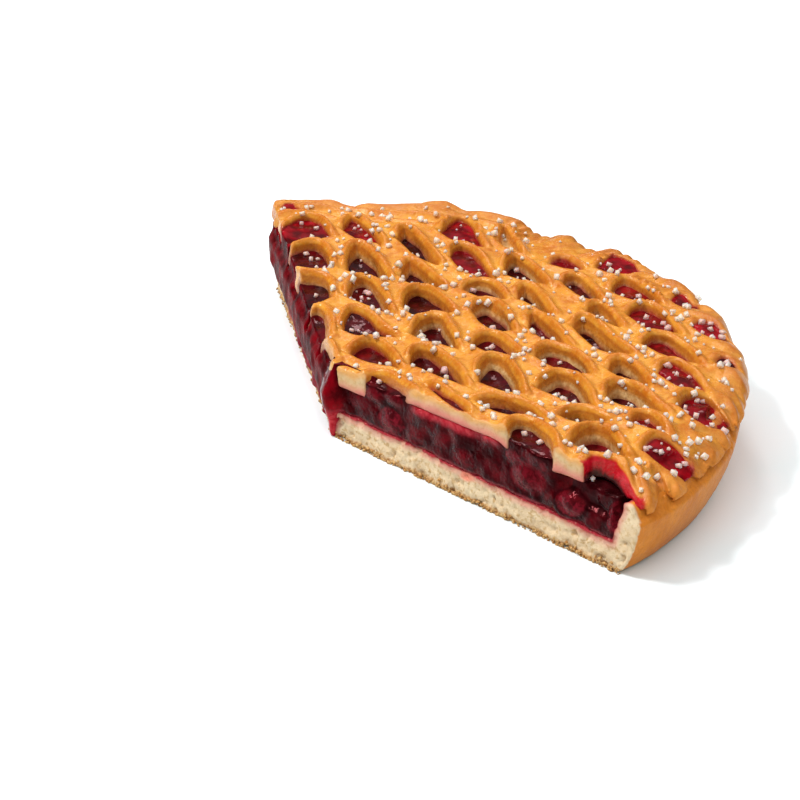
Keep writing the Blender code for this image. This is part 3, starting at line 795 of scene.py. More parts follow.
def cherries():
    """Middle, half sizes and turn of the cherries that show: at the cuts and in slits."""
    rng = np.random.default_rng(61)
    out = []

    def add(p, a, b, c, limit=3.4):
        out.append((p, (a, b, c), rng.uniform(0, math.pi), limit))

    R, L = CUT_RIGHT, CUT_LEFT
    for r, z, a, b, inward, _ in AT_CUT:
        add(along(R, r, inward, z), a, a * 0.9, b)
    for r in np.arange(9.0, 126.0, 10.5):
        z = rng.uniform(14.5, 18.5)
        a = rng.uniform(5.2, 6.6)
        add(along(L, r + rng.uniform(-2, 2), rng.uniform(2.2, 4.4), z), a, a * 0.95, rng.uniform(4.6, 5.8))
    for name in NAMES:
        row = SLITS[name]
        cx, cy, a, turn = chord(row)
        if a < 6 or row[MODE] == 3:
            continue
        height, level, red_and_lit = row[5], row[LEVEL], row[RED_AND_LIT]
        wide = height * math.cos(turn)
        h = 28.0 + 3.0 * smooth(0, 60, math.hypot(cx, cy)) + 1.6 * smooth(60, 115, math.hypot(cx, cy)) - level
        many = 2 if a > 9.5 else 1
        for k in range(many):
            u = rng.uniform(-0.3, 0.3) * a + (0.0 if many == 1 else (k - 0.5) * a * 0.8)
            v = wide * (0.35 + rng.uniform(-0.12, 0.12))
            s = rng.uniform(4.8, 6.4)
            lift = rng.uniform(-1.5, -0.4) + (1.0 if red_and_lit > 0.85 else 0.0)
            add((cx + u * math.cos(turn) - v * math.sin(turn), cy + u * math.sin(turn) + v * math.cos(turn),
                 h + lift - s * 0.5), s, s * 0.85, s * 0.5, -2.0)
    return out


HOLLOW_END = (smooth(98, 104, ALONG_R) * (1 - smooth(127, 131, ALONG_R))).astype(F)


def smear_field(z_axis):
    """Jelly that has run down over the corner where the cuts meet, as a sheet."""
    f = np.full((len(X_AXIS), len(Y_AXIS), len(z_axis)), 9.0, F)
    a = math.radians(CUT_LEFT)
    along_l = (X2 - CUT_MEET[0]) * math.cos(a) + (Y2 - CUT_MEET[1]) * math.sin(a)
    near = np.hypot(X2 - CUT_MEET[0], Y2 - CUT_MEET[1])
    for k, z in enumerate(z_axis):
        if z > 27.5:
            continue
        w = np.interp(z, [0, 2, 6, 9, 13.6, 16.6, 20, 24, 27.5], [0.9, 1.4, 1.8, 2.9, 4.3, 4.7, 3.2, 1.6, 0.2])
        wide_l = np.interp(z, [0, 6, 10, 16, 24], [3.6, 5.4, 8.8, 11.0, 7.0])
        wide_r = np.interp(z, [0, 5, 9, 11, 14, 24], [1.1, 1.2, 1.8, 3.1, 4.0, 2.2])
        wave = 0.5 * np.sin(0.55 * z + 0.8)
        spread = (np.maximum(0, along_l - 1.2 - wave) / wide_l) ** 2 + (np.maximum(0, ALONG_R) / wide_r) ** 2
        g = np.maximum(CUT - (w + 2.4) * np.exp(-spread) + 2.4, -3.0 - CUT)
        g = np.maximum(g, near - 18.0)
        # a curtain of juice down the left cut, its lower edge in tongues
        foot = 2.6 + 1.5 * np.sin(along_l * 0.33) + 1.1 * np.sin(along_l * 0.81 + 1.0)
        sheet = (1.7 + 0.4 * np.sin(along_l * 0.55 + 2.0)) * smooth(-0.5, 3.5, z - foot) - 1.6 * (1 - smooth(-0.5, 3.5, z - foot))
        sheet = sheet - 6.0 * (smooth(82, 96, along_l + 0.8 * z) + (1 - smooth(-1.0, 2.0, along_l)))
        h = np.maximum(CUT - sheet, -3.0 - CUT) if z < 13 else 9.0
        f[:, :, k] = np.maximum(np.minimum(g, h), 0.25 - z)
    return f


def filling_field():
    z_axis = np.arange(-0.8, 33.6, GRID).astype(F)
    axes = (X_AXIS, Y_AXIS, z_axis)
    whole = TOP + CREASE
    under = whole - THICK + 0.4
    deep = by_slit(LEVEL) + 4.0 * (by_slit(MODE) == 3)
    inside = np.maximum(0, -SLIT - LEAN * np.clip(deep - 1.0, 0, 7))
    dome = smooth(0.8, 0.95, by_slit(RED_AND_LIT)) * (by_slit(MODE) == 0)
    jelly = whole - deep + 0.6 * np.exp(-inside / 0.9) + 1.3 * dome * (1 - np.exp(-inside / 2.2)) + 0.35 * grid_noise(XY, 5.5, 71) + 0.15 * grid_noise(XY, 2.2, 72)
    in_slit = (1 - smooth(0.5, 1.2, SLIT)).astype(F)
    level = (under * (1 - in_slit) + jelly * in_slit).astype(F)
    wob = grid_noise(axes, (4.2, 4.2, 3.2), 73)
    fine = grid_noise(axes, 1.8, 74)
    f = np.empty((len(X_AXIS), len(Y_AXIS), len(z_axis)), F)
    side = CUT_L > CUT_R
    for k, z in enumerate(z_axis):
        g = np.maximum(z - level, BASE - 0.35 - z)
        inner = 127.7 + 3.4 * float(smooth(10, 24, z)) + 0.4
        # jelly also fills the pits over the wall, a little under the dough's surface
        g = np.maximum(g, np.where((SLIT < 0.9) & (z > 23.0), R2 - 135.6, R2 - inner))
        if z > 18.5:
            g = np.maximum(g, round_inter(z - TOP, R2 - rim_outer(z), RIM_ROUND) + 0.75)
        # it bulges from the left cut and sinks back a little in the right one,
        # most at the right-hand end, where it leaves a hollow under the lattice
        back = -0.35 - 2.6 * HOLLOW_END * float(smooth(15.5, 18.5, z))
        swell = np.where(side, 1.2 + 1.9 * float(smooth(9, 12, z) * (1 - smooth(20, 24, z))), back)
        swell = swell - 0.5 * float(1 - smooth(10, 11.5, z))
        e = CUT - swell - np.where(side, 0.35, 1.0) * wob[:, :, k] - np.where(side, 0.06, 0.45) * fine[:, :, k]
        f[:, :, k] = round_inter(g, e.astype(F), np.float32(0.8))
    return f, (X_AXIS[0], Y_AXIS[0], z_axis[0]), z_axis


def add_ball(f, z_axis, centre, size, turn, k, limit=None):
    """Joins an ellipsoid to the field f with a soft seam."""
    cx, cy, cz = centre
    m = max(size) + 3.0
    i0, i1 = np.searchsorted(X_AXIS, [cx - m, cx + m])
    j0, j1 = np.searchsorted(Y_AXIS, [cy - m, cy + m])
    k0, k1 = np.searchsorted(z_axis, [cz - m, cz + m])
    if i1 <= i0 or j1 <= j0 or k1 <= k0:
        return
    x = X_AXIS[i0:i1, None, None] - cx
    y = Y_AXIS[None, j0:j1, None] - cy
    z = z_axis[None, None, k0:k1] - cz
    ct, st = math.cos(turn), math.sin(turn)
    u, v = x * ct + y * st, -x * st + y * ct
    q = np.sqrt((u / size[0]) ** 2 + (v / size[1]) ** 2 + (z / size[2]) ** 2)
    g = np.sqrt((u / size[0] ** 2) ** 2 + (v / size[1] ** 2) ** 2 + (z / size[2] ** 2) ** 2)
    ball = (q * (q - 1.0) / np.maximum(g, 1e-6)).astype(F)
    if limit is not None:
        ball = np.maximum(ball, CUT[i0:i1, j0:j1, None] - limit)
        ball = np.maximum(ball, R2[i0:i1, j0:j1, None] - 127.5)
    w = (slice(i0, i1), slice(j0, j1), slice(k0, k1))
    f[w] = round_union(f[w], ball, np.float32(k))


def build_filling():
    f, origin, z_axis = filling_field()
    for centre, size, turn, limit in cherries():
        add_ball(f, z_axis, centre, size, turn, 1.3, limit)
    f = round_union(f, smear_field(z_axis), F(1.6)).astype(F)
    verts, quads = surface_net(f, origin, GRID)
    verts = relax(verts, quads, 1, 0.4)
    ob = to_object("filling", verts, quads, budget=185000)
    keep_biggest(ob)
    co, no = coords_mm(ob), normals(ob)
    x, y, z = co.T
    cut = sample(CUT, x, y)
    s = sample(SLIT, x, y)
    n1 = point_noise(co, 3.0, 81)
    n2 = point_noise(co, 8.0, 82)
    # painted light and shade: slit jelly is painted bright red where lit through and near black where it lies deep in
    # shade; at E8, under the hollow, it is painted dark as shade
    red_and_lit = sample(by_slit(RED_AND_LIT) * (OWNER != NAMES.index("E8")), x, y)
    red_and_lit = red_and_lit * (0.55 + 0.45 * smooth(0.78, 0.92, red_and_lit))
    on_cut = smooth(-3.2, -1.5, cut) * (1 - smooth(0.6, 0.9, no[:, 2]))
    rim = smooth(-2.2, 0.6, s + 0.5 * n1)       # thin jelly by the slits' walls
    # bright: painted light on lit jelly, plus the thin jelly by the walls
    bright = np.clip(red_and_lit * (0.62 + 0.35 * n2) + 0.35 * rim * smooth(0.1, 0.5, red_and_lit), 0, 1)
    low = 1 - smooth(10.3, 11.5, z + 0.5 * n1)
    left = smooth(-1.0, 1.5, sample(CUT_L, x, y)) * (0.28 + 0.16 * n2)
    r_along, l_along = sample(ALONG_R, x, y), None
    # fruit flesh: the ovals of the cherries, each with a darker line round it
    fruit, ring = np.zeros(len(x)), np.zeros(len(x))
    for r0, z0, a0, b0, _, bare in AT_CUT:
        q = np.hypot((r_along - r0) / (a0 * 0.86), (z - z0) / (b0 * 0.86)) + 0.10 * n1
        fruit = np.maximum(fruit, bare * (1 - smooth(0.80, 1.0, q)))
        ring = np.maximum(ring, bare * np.exp(-((q - 1.05) / 0.10) ** 2))
    drip = 1 - smooth(2.0, 13.0, np.hypot(x - CUT_MEET[0], y - CUT_MEET[1]) - 2 + 0.5 * z)
    drip = drip * smooth(-0.6, 0.4, cut)
    cutbright = np.clip(0.07 + 0.13 * n1 + 0.20 * low + left + 0.26 * fruit - 0.2 * ring + 0.8 * drip, 0, 1)
    attribute(ob, "red_and_lit", bright * (1 - on_cut) + cutbright * on_cut)
    attribute(ob, "cut", on_cut * (1 - 0.7 * drip) * (1 - 0.85 * smooth(-1.0, 1.5, sample(CUT_L, x, y) - sample(CUT_R, x, y))))
    # pink film under the long strip that the right-hand cut runs along
    film = smooth(34, 42, r_along) * (1 - smooth(72, 78, r_along)) * smooth(0.0, 2.0, cut + 2.5)
    film = film * (1 - smooth(7.0, 9.5, sample((TOP + CREASE).astype(F), x, y) - z + 0.8 * n1))
    low = np.maximum(low, film)
    attribute(ob, "low", low * on_cut)
    attribute(ob, "fruit", fruit * on_cut)
    attribute(ob, "thin", np.maximum(drip * (1 - smooth(8.0, 12.0, z)), 0.75 * film))
    dull = (on_cut > 0.5) & (sample(CUT_L, x, y) > sample(CUT_R, x, y) + 3.0)
    first = np.empty(len(ob.data.polygons), np.int32)
    ob.data.polygons.foreach_get("loop_start", first)
    corner = np.empty(len(ob.data.loops), np.int32)
    ob.data.loops.foreach_get("vertex_index", corner)
    dull = dull[corner[first]].astype(np.int32)
    co += no * (0.05 * point_noise(co, 1.1, 83) + 0.08 * point_noise(co, 2.4, 84))[:, None]
    set_coords(ob, co)
    return ob, dull


# ------------------------------------------------------------------------ crust
def build_crust():
    z_axis = np.arange(-1.2, 26.5, GRID).astype(F)
    axes = (X_AXIS, Y_AXIS, z_axis)
    wob = grid_noise(axes, (3.4, 3.4, 2.2), 91)
    fine = grid_noise(axes, 1.3, 92)
    big = grid_noise(axes, 9.0, 93)
    f = np.empty((len(X_AXIS), len(Y_AXIS), len(z_axis)), F)
    for k, z in enumerate(z_axis):
        outer = R2 - rim_outer(z) - 0.25 * big[:, :, k] + 0.35 * float(smooth(22.5, SEAM, z))
        g = round_inter(outer, np.full(outer.shape, -z, F), np.float32(1.9))
        inner = 127.6 + 3.4 * float(smooth(10, 24, z)) + 0.3 * wob[:, :, k]
        cavity = round_inter(R2 - inner, np.full(outer.shape, BASE - z, F), np.float32(3.0))
        g = np.maximum(g, -cavity)
        g = np.maximum(g, z - SEAM - 0.35)
        if z > 16:
            g = np.maximum(g, round_inter(z - TOP, R2 - rim_outer(z), RIM_ROUND) + 2.2 * float(smooth(18.6, 21.5, z)))
        pores = 1.3 * smooth(0.20, 0.85, fine[:, :, k]) + 0.38 * wob[:, :, k]
        ragged = 0.55 * float(1 - smooth(0.6, 2.2, z))
        e = CUT + 0.25 + pores - ragged * (0.4 + big[:, :, k])
        f[:, :, k] = np.maximum(g, e)
    verts, quads = surface_net(f, (X_AXIS[0], Y_AXIS[0], z_axis[0]), GRID)
    verts = relax(verts, quads, 1, 0.3)
    ob = to_object("crust_shell", verts, quads, budget=180000)
    keep_biggest(ob)
    co, no = coords_mm(ob), normals(ob)
    x, y, z = co.T
    ar, al = math.radians(CUT_RIGHT), math.radians(CUT_LEFT)
    cut_r, cut_l = sample(CUT_R, x, y), sample(CUT_L, x, y)
    r = np.hypot(x, y)
    outside = smooth(-1.6, -0.7, r - (131.6 + 8.0 * (1 - np.exp(-z / 13.0)) / (1 - math.exp(-30 / 13.0))))
    face = np.maximum(no[:, 0] * math.sin(ar) - no[:, 1] * math.cos(ar),
                      -(no[:, 0] * math.sin(al) - no[:, 1] * math.cos(al)))
    on_cut = smooth(-2.4, -1.4, np.maximum(cut_r, cut_l)) * (1 - outside * smooth(0.4, 0.1, face))
    n1 = point_noise(co, 2.2, 101)
    n2 = point_noise(co, 7.0, 102)
    bottom = 1 - smooth(1.0, 2.3, z + 0.45 * n1)
    inner = np.hypot(np.maximum(r - (127.6 + 3.4 * smooth(10, 24, z)), 0), np.maximum(BASE - z, 0))
    stain = 1 - smooth(0.3, 1.5, inner + 0.35 * n1 + 0.35 * n2)
    # juice has run down most of the left cut, and a little round its corner
    on_left = smooth(0.0, 1.5, cut_l - cut_r) * on_cut * (1 - bottom)
    stain = np.maximum(stain, 0.9 * on_left * smooth(0.2, 2.2, z + 1.0 * n2 + 0.8 * n1) * (1 - smooth(96, 112, r + 6 * n2)))
    corner = np.hypot(x - CUT_MEET[0], y - CUT_MEET[1])
    stain = np.maximum(stain, (1 - smooth(0.5, 3.6, corner + 0.5 * n1)) * on_cut)
    px, py, pz = along(CUT_RIGHT, 63.0, 0.0, 8.4)
    spot = 1 - smooth(0.5, 1.0, np.sqrt(((x - px) ** 2 + (y - py) ** 2) / 16.0 + (z - pz) ** 2 / 4.0) + 0.2 * n1)
    attribute(ob, "cut", on_cut)
    attribute(ob, "bottom", bottom)
    attribute(ob, "stain", stain)
    attribute(ob, "spot", spot * on_cut)
    blush = (1 - smooth(0.9, 3.6, inner + 0.6 * n1 + 0.6 * n2)) * on_cut * (1 - stain)
    attribute(ob, "blush", blush)
    rough = 0.26 * point_noise(co, 1.3, 105) + 0.24 * point_noise(co, 2.2, 106)
    co += no * (0.04 * point_noise(co, 0.9, 103) + 0.08 * point_noise(co, 2.4, 104)
                + rough * on_cut * smooth(0.5, 1.5, z))[:, None]
    set_coords(ob, co)
    return ob


# -------------------------------------------------------------------- materials
class Nodes:
    """Short names for building a node material."""

    def __init__(self, name):
        self.mat = bpy.data.materials.new(name)
        self.mat.use_nodes = True
        self.nt = self.mat.node_tree
        self.bsdf = self.nt.nodes["Principled BSDF"]
        self.vec = self.nt.nodes.new("ShaderNodeTexCoord").outputs["Object"]

    def link(self, a, b):
        self.nt.links.new(a, b)

    def put(self, socket, value):
        if hasattr(value, "is_output"):
            self.link(value, socket)
        elif isinstance(value, tuple) and len(value) == 3 and socket.type == "RGBA":
            socket.default_value = (*value, 1.0)
        else:
            socket.default_value = value

    def attr(self, name):
        n = self.nt.nodes.new("ShaderNodeAttribute")
        n.attribute_name = name
        return n.outputs["Fac"]

    def scaled(self, x, y, z):
        n = self.nt.nodes.new("ShaderNodeMapping")
        n.inputs["Scale"].default_value = (x, y, z)
        self.link(self.vec, n.inputs["Vector"])
        return n.outputs["Vector"]

    def noise(self, size_mm, detail=2.0, rough=0.5, warp=0.0, vec=None):
        n = self.nt.nodes.new("ShaderNodeTexNoise")
        n.inputs["Scale"].default_value = 1000.0 / size_mm
        n.inputs["Detail"].default_value = detail
        n.inputs["Roughness"].default_value = rough
        n.inputs["Distortion"].default_value = warp
        self.link(vec or self.vec, n.inputs["Vector"])
        return n.outputs["Fac"]

    def cells(self, size_mm, vec=None):
        n = self.nt.nodes.new("ShaderNodeTexVoronoi")
        n.inputs["Scale"].default_value = 1000.0 / size_mm
        self.link(vec or self.vec, n.inputs["Vector"])
        return n.outputs["Distance"]

    def ramp(self, fac, lo, hi, a=0.0, b=1.0):
        n = self.nt.nodes.new("ShaderNodeMapRange")
        n.interpolation_type = "SMOOTHSTEP"
        self.link(fac, n.inputs["Value"])
        n.inputs["From Min"].default_value = lo
        n.inputs["From Max"].default_value = hi
        n.inputs["To Min"].default_value = a
        n.inputs["To Max"].default_value = b
        return n.outputs["Result"]

    def math(self, op, a, b=0.0):
        n = self.nt.nodes.new("ShaderNodeMath")
        n.operation = op
        self.put(n.inputs[0], a)
        self.put(n.inputs[1], b)
        return n.outputs[0]

    def mix(self, fac, a, b):
        n = self.nt.nodes.new("ShaderNodeMix")
        n.data_type = "RGBA"
        self.put(n.inputs["Factor"], fac)
        self.put(n.inputs["A"] if False else n.inputs[6], a)
        self.put(n.inputs[7], b)
        return n.outputs[2]

    def bump(self, height, distance_mm, strength=1.0, normal=None):
        n = self.nt.nodes.new("ShaderNodeBump")
        n.inputs["Distance"].default_value = distance_mm * 0.001
        self.put(n.inputs["Strength"], strength)
        self.link(height, n.inputs["Height"])
        if normal is not None:
            self.link(normal, n.inputs["Normal"])
        return n.outputs["Normal"]

    def finish(self, colour, roughness, normal=None, **constants):
        self.link(colour, self.bsdf.inputs["Base Color"])
        self.put(self.bsdf.inputs["Roughness"], roughness)
        if normal is not None:
            self.link(normal, self.bsdf.inputs["Normal"])
        for key, v in constants.items():
            self.bsdf.inputs[key.replace("_", " ")].default_value = v
        return self.mat


CRUMB = (0.76, 0.595, 0.385)
CRUMB_PORE_SHADE = (0.55, 0.35, 0.160)


def crumb_colour(n):
    # darker pores: painted shade in the crumb's holes
    pores = n.ramp(n.noise(1.7, 3.0, 0.55), 0.32, 0.52)
    cloud = n.ramp(n.noise(6.0, 2.0, 0.5), 0.3, 0.7)
    c = n.mix(pores, CRUMB_PORE_SHADE, CRUMB)
    return n.mix(n.math("MULTIPLY", cloud, 0.40), c, (0.62, 0.42, 0.230))


def wall_colour(n):
    """The baked wall, on the crust and on the lattice's skirt over it."""
    streak = n.ramp(n.noise(3.0, 3.0, 0.6, vec=n.scaled(1.0, 1.0, 0.25)), 0.35, 0.68)
    cloud = n.ramp(n.noise(13.0, 3.0, 0.55), 0.35, 0.68)
    fine = n.ramp(n.noise(1.1, 3.0, 0.65), 0.36, 0.66)
    freckle = n.ramp(n.noise(0.75, 2.0, 0.6), 0.58, 0.70)
    c = n.mix(cloud, (0.56, 0.162, 0.012), (0.69, 0.238, 0.026))
    c = n.mix(n.math("MULTIPLY", streak, 0.38), c, (0.74, 0.305, 0.050))
    c = n.mix(n.math("ADD", 0.65, n.math("MULTIPLY", fine, 0.35)), (0.46, 0.14, 0.018), c)
    return n.mix(n.math("MULTIPLY", freckle, 0.40), c, (0.36, 0.095, 0.014))


def lattice_material():
    n = Nodes("baked_lattice")
    tone = n.ramp(n.noise(9.0, 3.0, 0.55), 0.36, 0.66)
    mottle = n.ramp(n.noise(2.6, 3.0, 0.6, 0.3), 0.40, 0.70)
    freckle = n.ramp(n.noise(0.8, 2.0, 0.6), 0.60, 0.72)
    pale_spot = n.ramp(n.noise(1.3, 3.0, 0.6), 0.52, 0.70)
    c = n.mix(tone, (0.50, 0.135, 0.007), (0.65, 0.250, 0.020))
    c = n.mix(n.math("MULTIPLY", mottle, 0.55), c, (0.71, 0.340, 0.042))
    c = n.mix(n.math("MULTIPLY", n.attr("hollow"), 0.50), c, (0.64, 0.310, 0.060))
    c = n.mix(n.math("MULTIPLY", n.attr("crown"), 0.60), c, (0.50, 0.135, 0.008))
    c = n.mix(n.math("MULTIPLY", pale_spot, 0.22), c, (0.68, 0.36, 0.10))
    c = n.mix(n.math("MULTIPLY", freckle, 0.40), c, (0.40, 0.105, 0.015))
    brown = n.ramp(n.noise(6.0, 3.0, 0.6), 0.45, 0.75)
    c = n.mix(n.math("MULTIPLY", n.attr("rim"), n.math("ADD", 0.30, n.math("MULTIPLY", brown, 0.60))), c, (0.41, 0.125, 0.020))
    c = n.mix(n.math("MULTIPLY", n.attr("edge"), 0.80), c, (0.42, 0.115, 0.014))
    c = n.mix(n.attr("side"), c, wall_colour(n))
    grainy = n.ramp(n.noise(1.6, 3.0, 0.6), 0.38, 0.66)
    cream = n.mix(grainy, (0.58, 0.335, 0.115), (0.78, 0.54, 0.250))
    tan = n.mix(grainy, (0.32, 0.095, 0.014), (0.46, 0.175, 0.035))
    # the upper wall darker orange brown: partly baked colour, partly painted shade
    c = n.mix(n.ramp(n.attr("pale"), 0.0, 0.45), c, n.mix(grainy, (0.46, 0.150, 0.016), (0.60, 0.250, 0.045)))
    c = n.mix(n.ramp(n.attr("pale"), 0.32, 0.85), c, cream)
    # brown walls: baked colour with painted shade where the walls lie out of the light
    c = n.mix(n.attr("brown"), c, tan)
    c = n.mix(n.attr("cut"), c, n.mix(0.62, crumb_colour(n), (0.53, 0.325, 0.135)))
    c = n.mix(n.math("MULTIPLY", n.attr("skin"), 0.75), c, (0.62, 0.270, 0.055))
    c = n.mix(n.attr("blush"), c, (0.62, 0.16, 0.14))
    c = n.mix(n.attr("stain"), c, n.mix(mottle, (0.26, 0.008, 0.014), (0.46, 0.060, 0.062)))
    c = n.mix(n.attr("glaze"), c, n.mix(mottle, (0.42, 0.003, 0.010), (0.60, 0.012, 0.028)))
    # painted shade: near black in the hollow at the end of the cut and at the walls' foot over dark jelly
    c = n.mix(n.attr("painted_shade"), c, (0.035, 0.002, 0.004))
    matt = n.math("MAXIMUM", n.attr("pale"), n.math("MAXIMUM", n.attr("cut"), n.attr("side")))
    matt = n.math("MAXIMUM", matt, n.math("MULTIPLY", n.attr("rim"), 0.5))
    wet = n.math("MAXIMUM", n.attr("stain"), n.attr("glaze"))
    rough = n.ramp(n.noise(2.0, 3.0, 0.6), 0.35, 0.65, 0.10, 0.34)
    rough = n.math("ADD", rough, n.math("MULTIPLY", n.attr("edge"), 0.12))
    rough = n.math("MAXIMUM", rough, n.math("MULTIPLY", matt, 0.66))
    rough = n.math("SUBTRACT", rough, n.math("MULTIPLY", wet, 0.30))
    rough = n.math("MAXIMUM", rough, 0.12)
    b1 = n.bump(n.noise(2.4, 3.0, 0.55), 0.35, 0.60)
    b2 = n.bump(n.noise(0.8, 3.0, 0.6), 0.35, n.math("ADD", 0.50, n.math("MULTIPLY", matt, 0.30)), b1)
    return n.finish(c, rough, b2, Specular_IOR_Level=0.34, Specular_Tint=(1.0, 0.84, 0.58, 1.0))


def crust_material():
    n = Nodes("baked_crust")
    freckle = n.ramp(n.noise(0.75, 2.0, 0.6), 0.58, 0.70)
    c = n.mix(n.attr("cut"), wall_colour(n), crumb_colour(n))
    brown = n.mix(n.ramp(n.noise(1.2, 3.0, 0.6), 0.40, 0.62), (0.36, 0.135, 0.026), (0.66, 0.42, 0.17))
    c = n.mix(n.math("MULTIPLY", n.attr("bottom"), 0.88), c, brown)
    c = n.mix(n.math("MULTIPLY", n.attr("blush"), 0.70), c, (0.62, 0.21, 0.18))
    c = n.mix(n.attr("stain"), c, n.mix(freckle, (0.36, 0.025, 0.036), (0.58, 0.16, 0.14)))
    c = n.mix(n.math("MULTIPLY", n.attr("spot"), 0.80), c, (0.78, 0.24, 0.15))
    rough = n.math("ADD", 0.46, n.math("MULTIPLY", n.attr("cut"), 0.36))
    b1 = n.bump(n.noise(1.4, 4.0, 0.6), 0.5, n.math("ADD", 0.30, n.math("MULTIPLY", n.attr("cut"), 0.7)))
    b2 = n.bump(n.noise(0.6, 3.0, 0.6), 0.3, n.math("ADD", 0.30, n.math("MULTIPLY", n.attr("cut"), 0.6)), b1)
    return n.finish(c, rough, b2, Specular_IOR_Level=0.12)


def jelly_material(name, sheen, dull=0.0):
    n = Nodes(name)
    fibre = n.ramp(n.noise(3.2, 4.0, 0.66, 2.2, vec=n.scaled(1.0, 1.0, 0.45)), 0.65, 0.80)
    cloud = n.ramp(n.noise(5.0, 3.0, 0.55), 0.36, 0.66)
    blot = n.ramp(n.noise(2.2, 3.0, 0.6, 0.8), 0.38, 0.66)
    # painted shade and painted light: the jelly's colour deep in shade and lit through bright red, mixed by how red
    # and lit the jelly is painted
    painted_shade = n.mix(cloud, (0.009, 0.0006, 0.0010), (0.032, 0.0015, 0.003))
    bright = n.mix(cloud, (0.13, 0.0008, 0.003), (0.36, 0.002, 0.008))
    c = n.mix(n.attr("red_and_lit"), painted_shade, bright)
    flesh = n.mix(blot, (0.045, 0.003, 0.005), (0.19, 0.010, 0.020))
    c = n.mix(n.math("MULTIPLY", n.attr("fruit"), 0.75), c, flesh)
    c = n.mix(n.math("MULTIPLY", n.attr("low"), 0.55), c, (0.30, 0.030, 0.045))
    c = n.mix(n.attr("thin"), c, n.mix(blot, (0.40, 0.012, 0.022), (0.55, 0.05, 0.06)))
    veil = n.math("MULTIPLY", n.math("MULTIPLY", fibre, n.attr("cut")), 0.36)
    c = n.mix(veil, c, (0.30, 0.12, 0.14))
    rough = n.ramp(n.noise(2.0, 2.0, 0.5), 0.35, 0.7, 0.05, 0.14)
    rough = n.math("ADD", n.math("ADD", rough, dull), n.math("MULTIPLY", veil, 0.35))
    b1 = n.bump(n.noise(3.0, 2.0, 0.5), 0.5, 0.28 if dull else 0.40)
    b2 = n.bump(n.noise(1.2, 2.0, 0.5), 0.45, n.math("MULTIPLY", n.attr("cut"), 0.25 if dull else 0.70), b1)
    return n.finish(c, rough, b2, Specular_IOR_Level=sheen, Specular_Tint=(1.0, 0.14, 0.16, 1.0))


def sugar_material():
    n = Nodes("coarse_sugar")
    cloud = n.ramp(n.noise(1.2, 3.0, 0.6), 0.35, 0.70)
    c = n.mix(cloud, (0.88, 0.72, 0.58), (0.96, 0.88, 0.80))
    c = n.mix(n.math("MULTIPLY", n.attr("pink"), 0.55), c, (0.78, 0.30, 0.36))
    rough = n.ramp(n.noise(0.8, 2.0, 0.6), 0.35, 0.7, 0.12, 0.34)
    b = n.bump(n.noise(0.6, 3.0, 0.6), 0.12, 0.5)
    return n.finish(c, rough, b, Specular_IOR_Level=0.5, Subsurface_Weight=0.7, Subsurface_Radius=(1.0, 0.75, 0.5),
                    Subsurface_Scale=0.002, IOR=1.45, Alpha=0.66)


def crumbs_material():
    n = Nodes("loose_crumbs")
    c = n.mix(n.ramp(n.noise(0.9, 3.0, 0.6), 0.38, 0.62), (0.40, 0.17, 0.040), (0.66, 0.43, 0.18))
    return n.finish(c, n.ramp(n.noise(1.0, 2.0, 0.5), 0.3, 0.7, 0.6, 0.85),
                    n.bump(n.noise(0.5, 3.0, 0.6), 0.25, 0.7), Specular_IOR_Level=0.2)


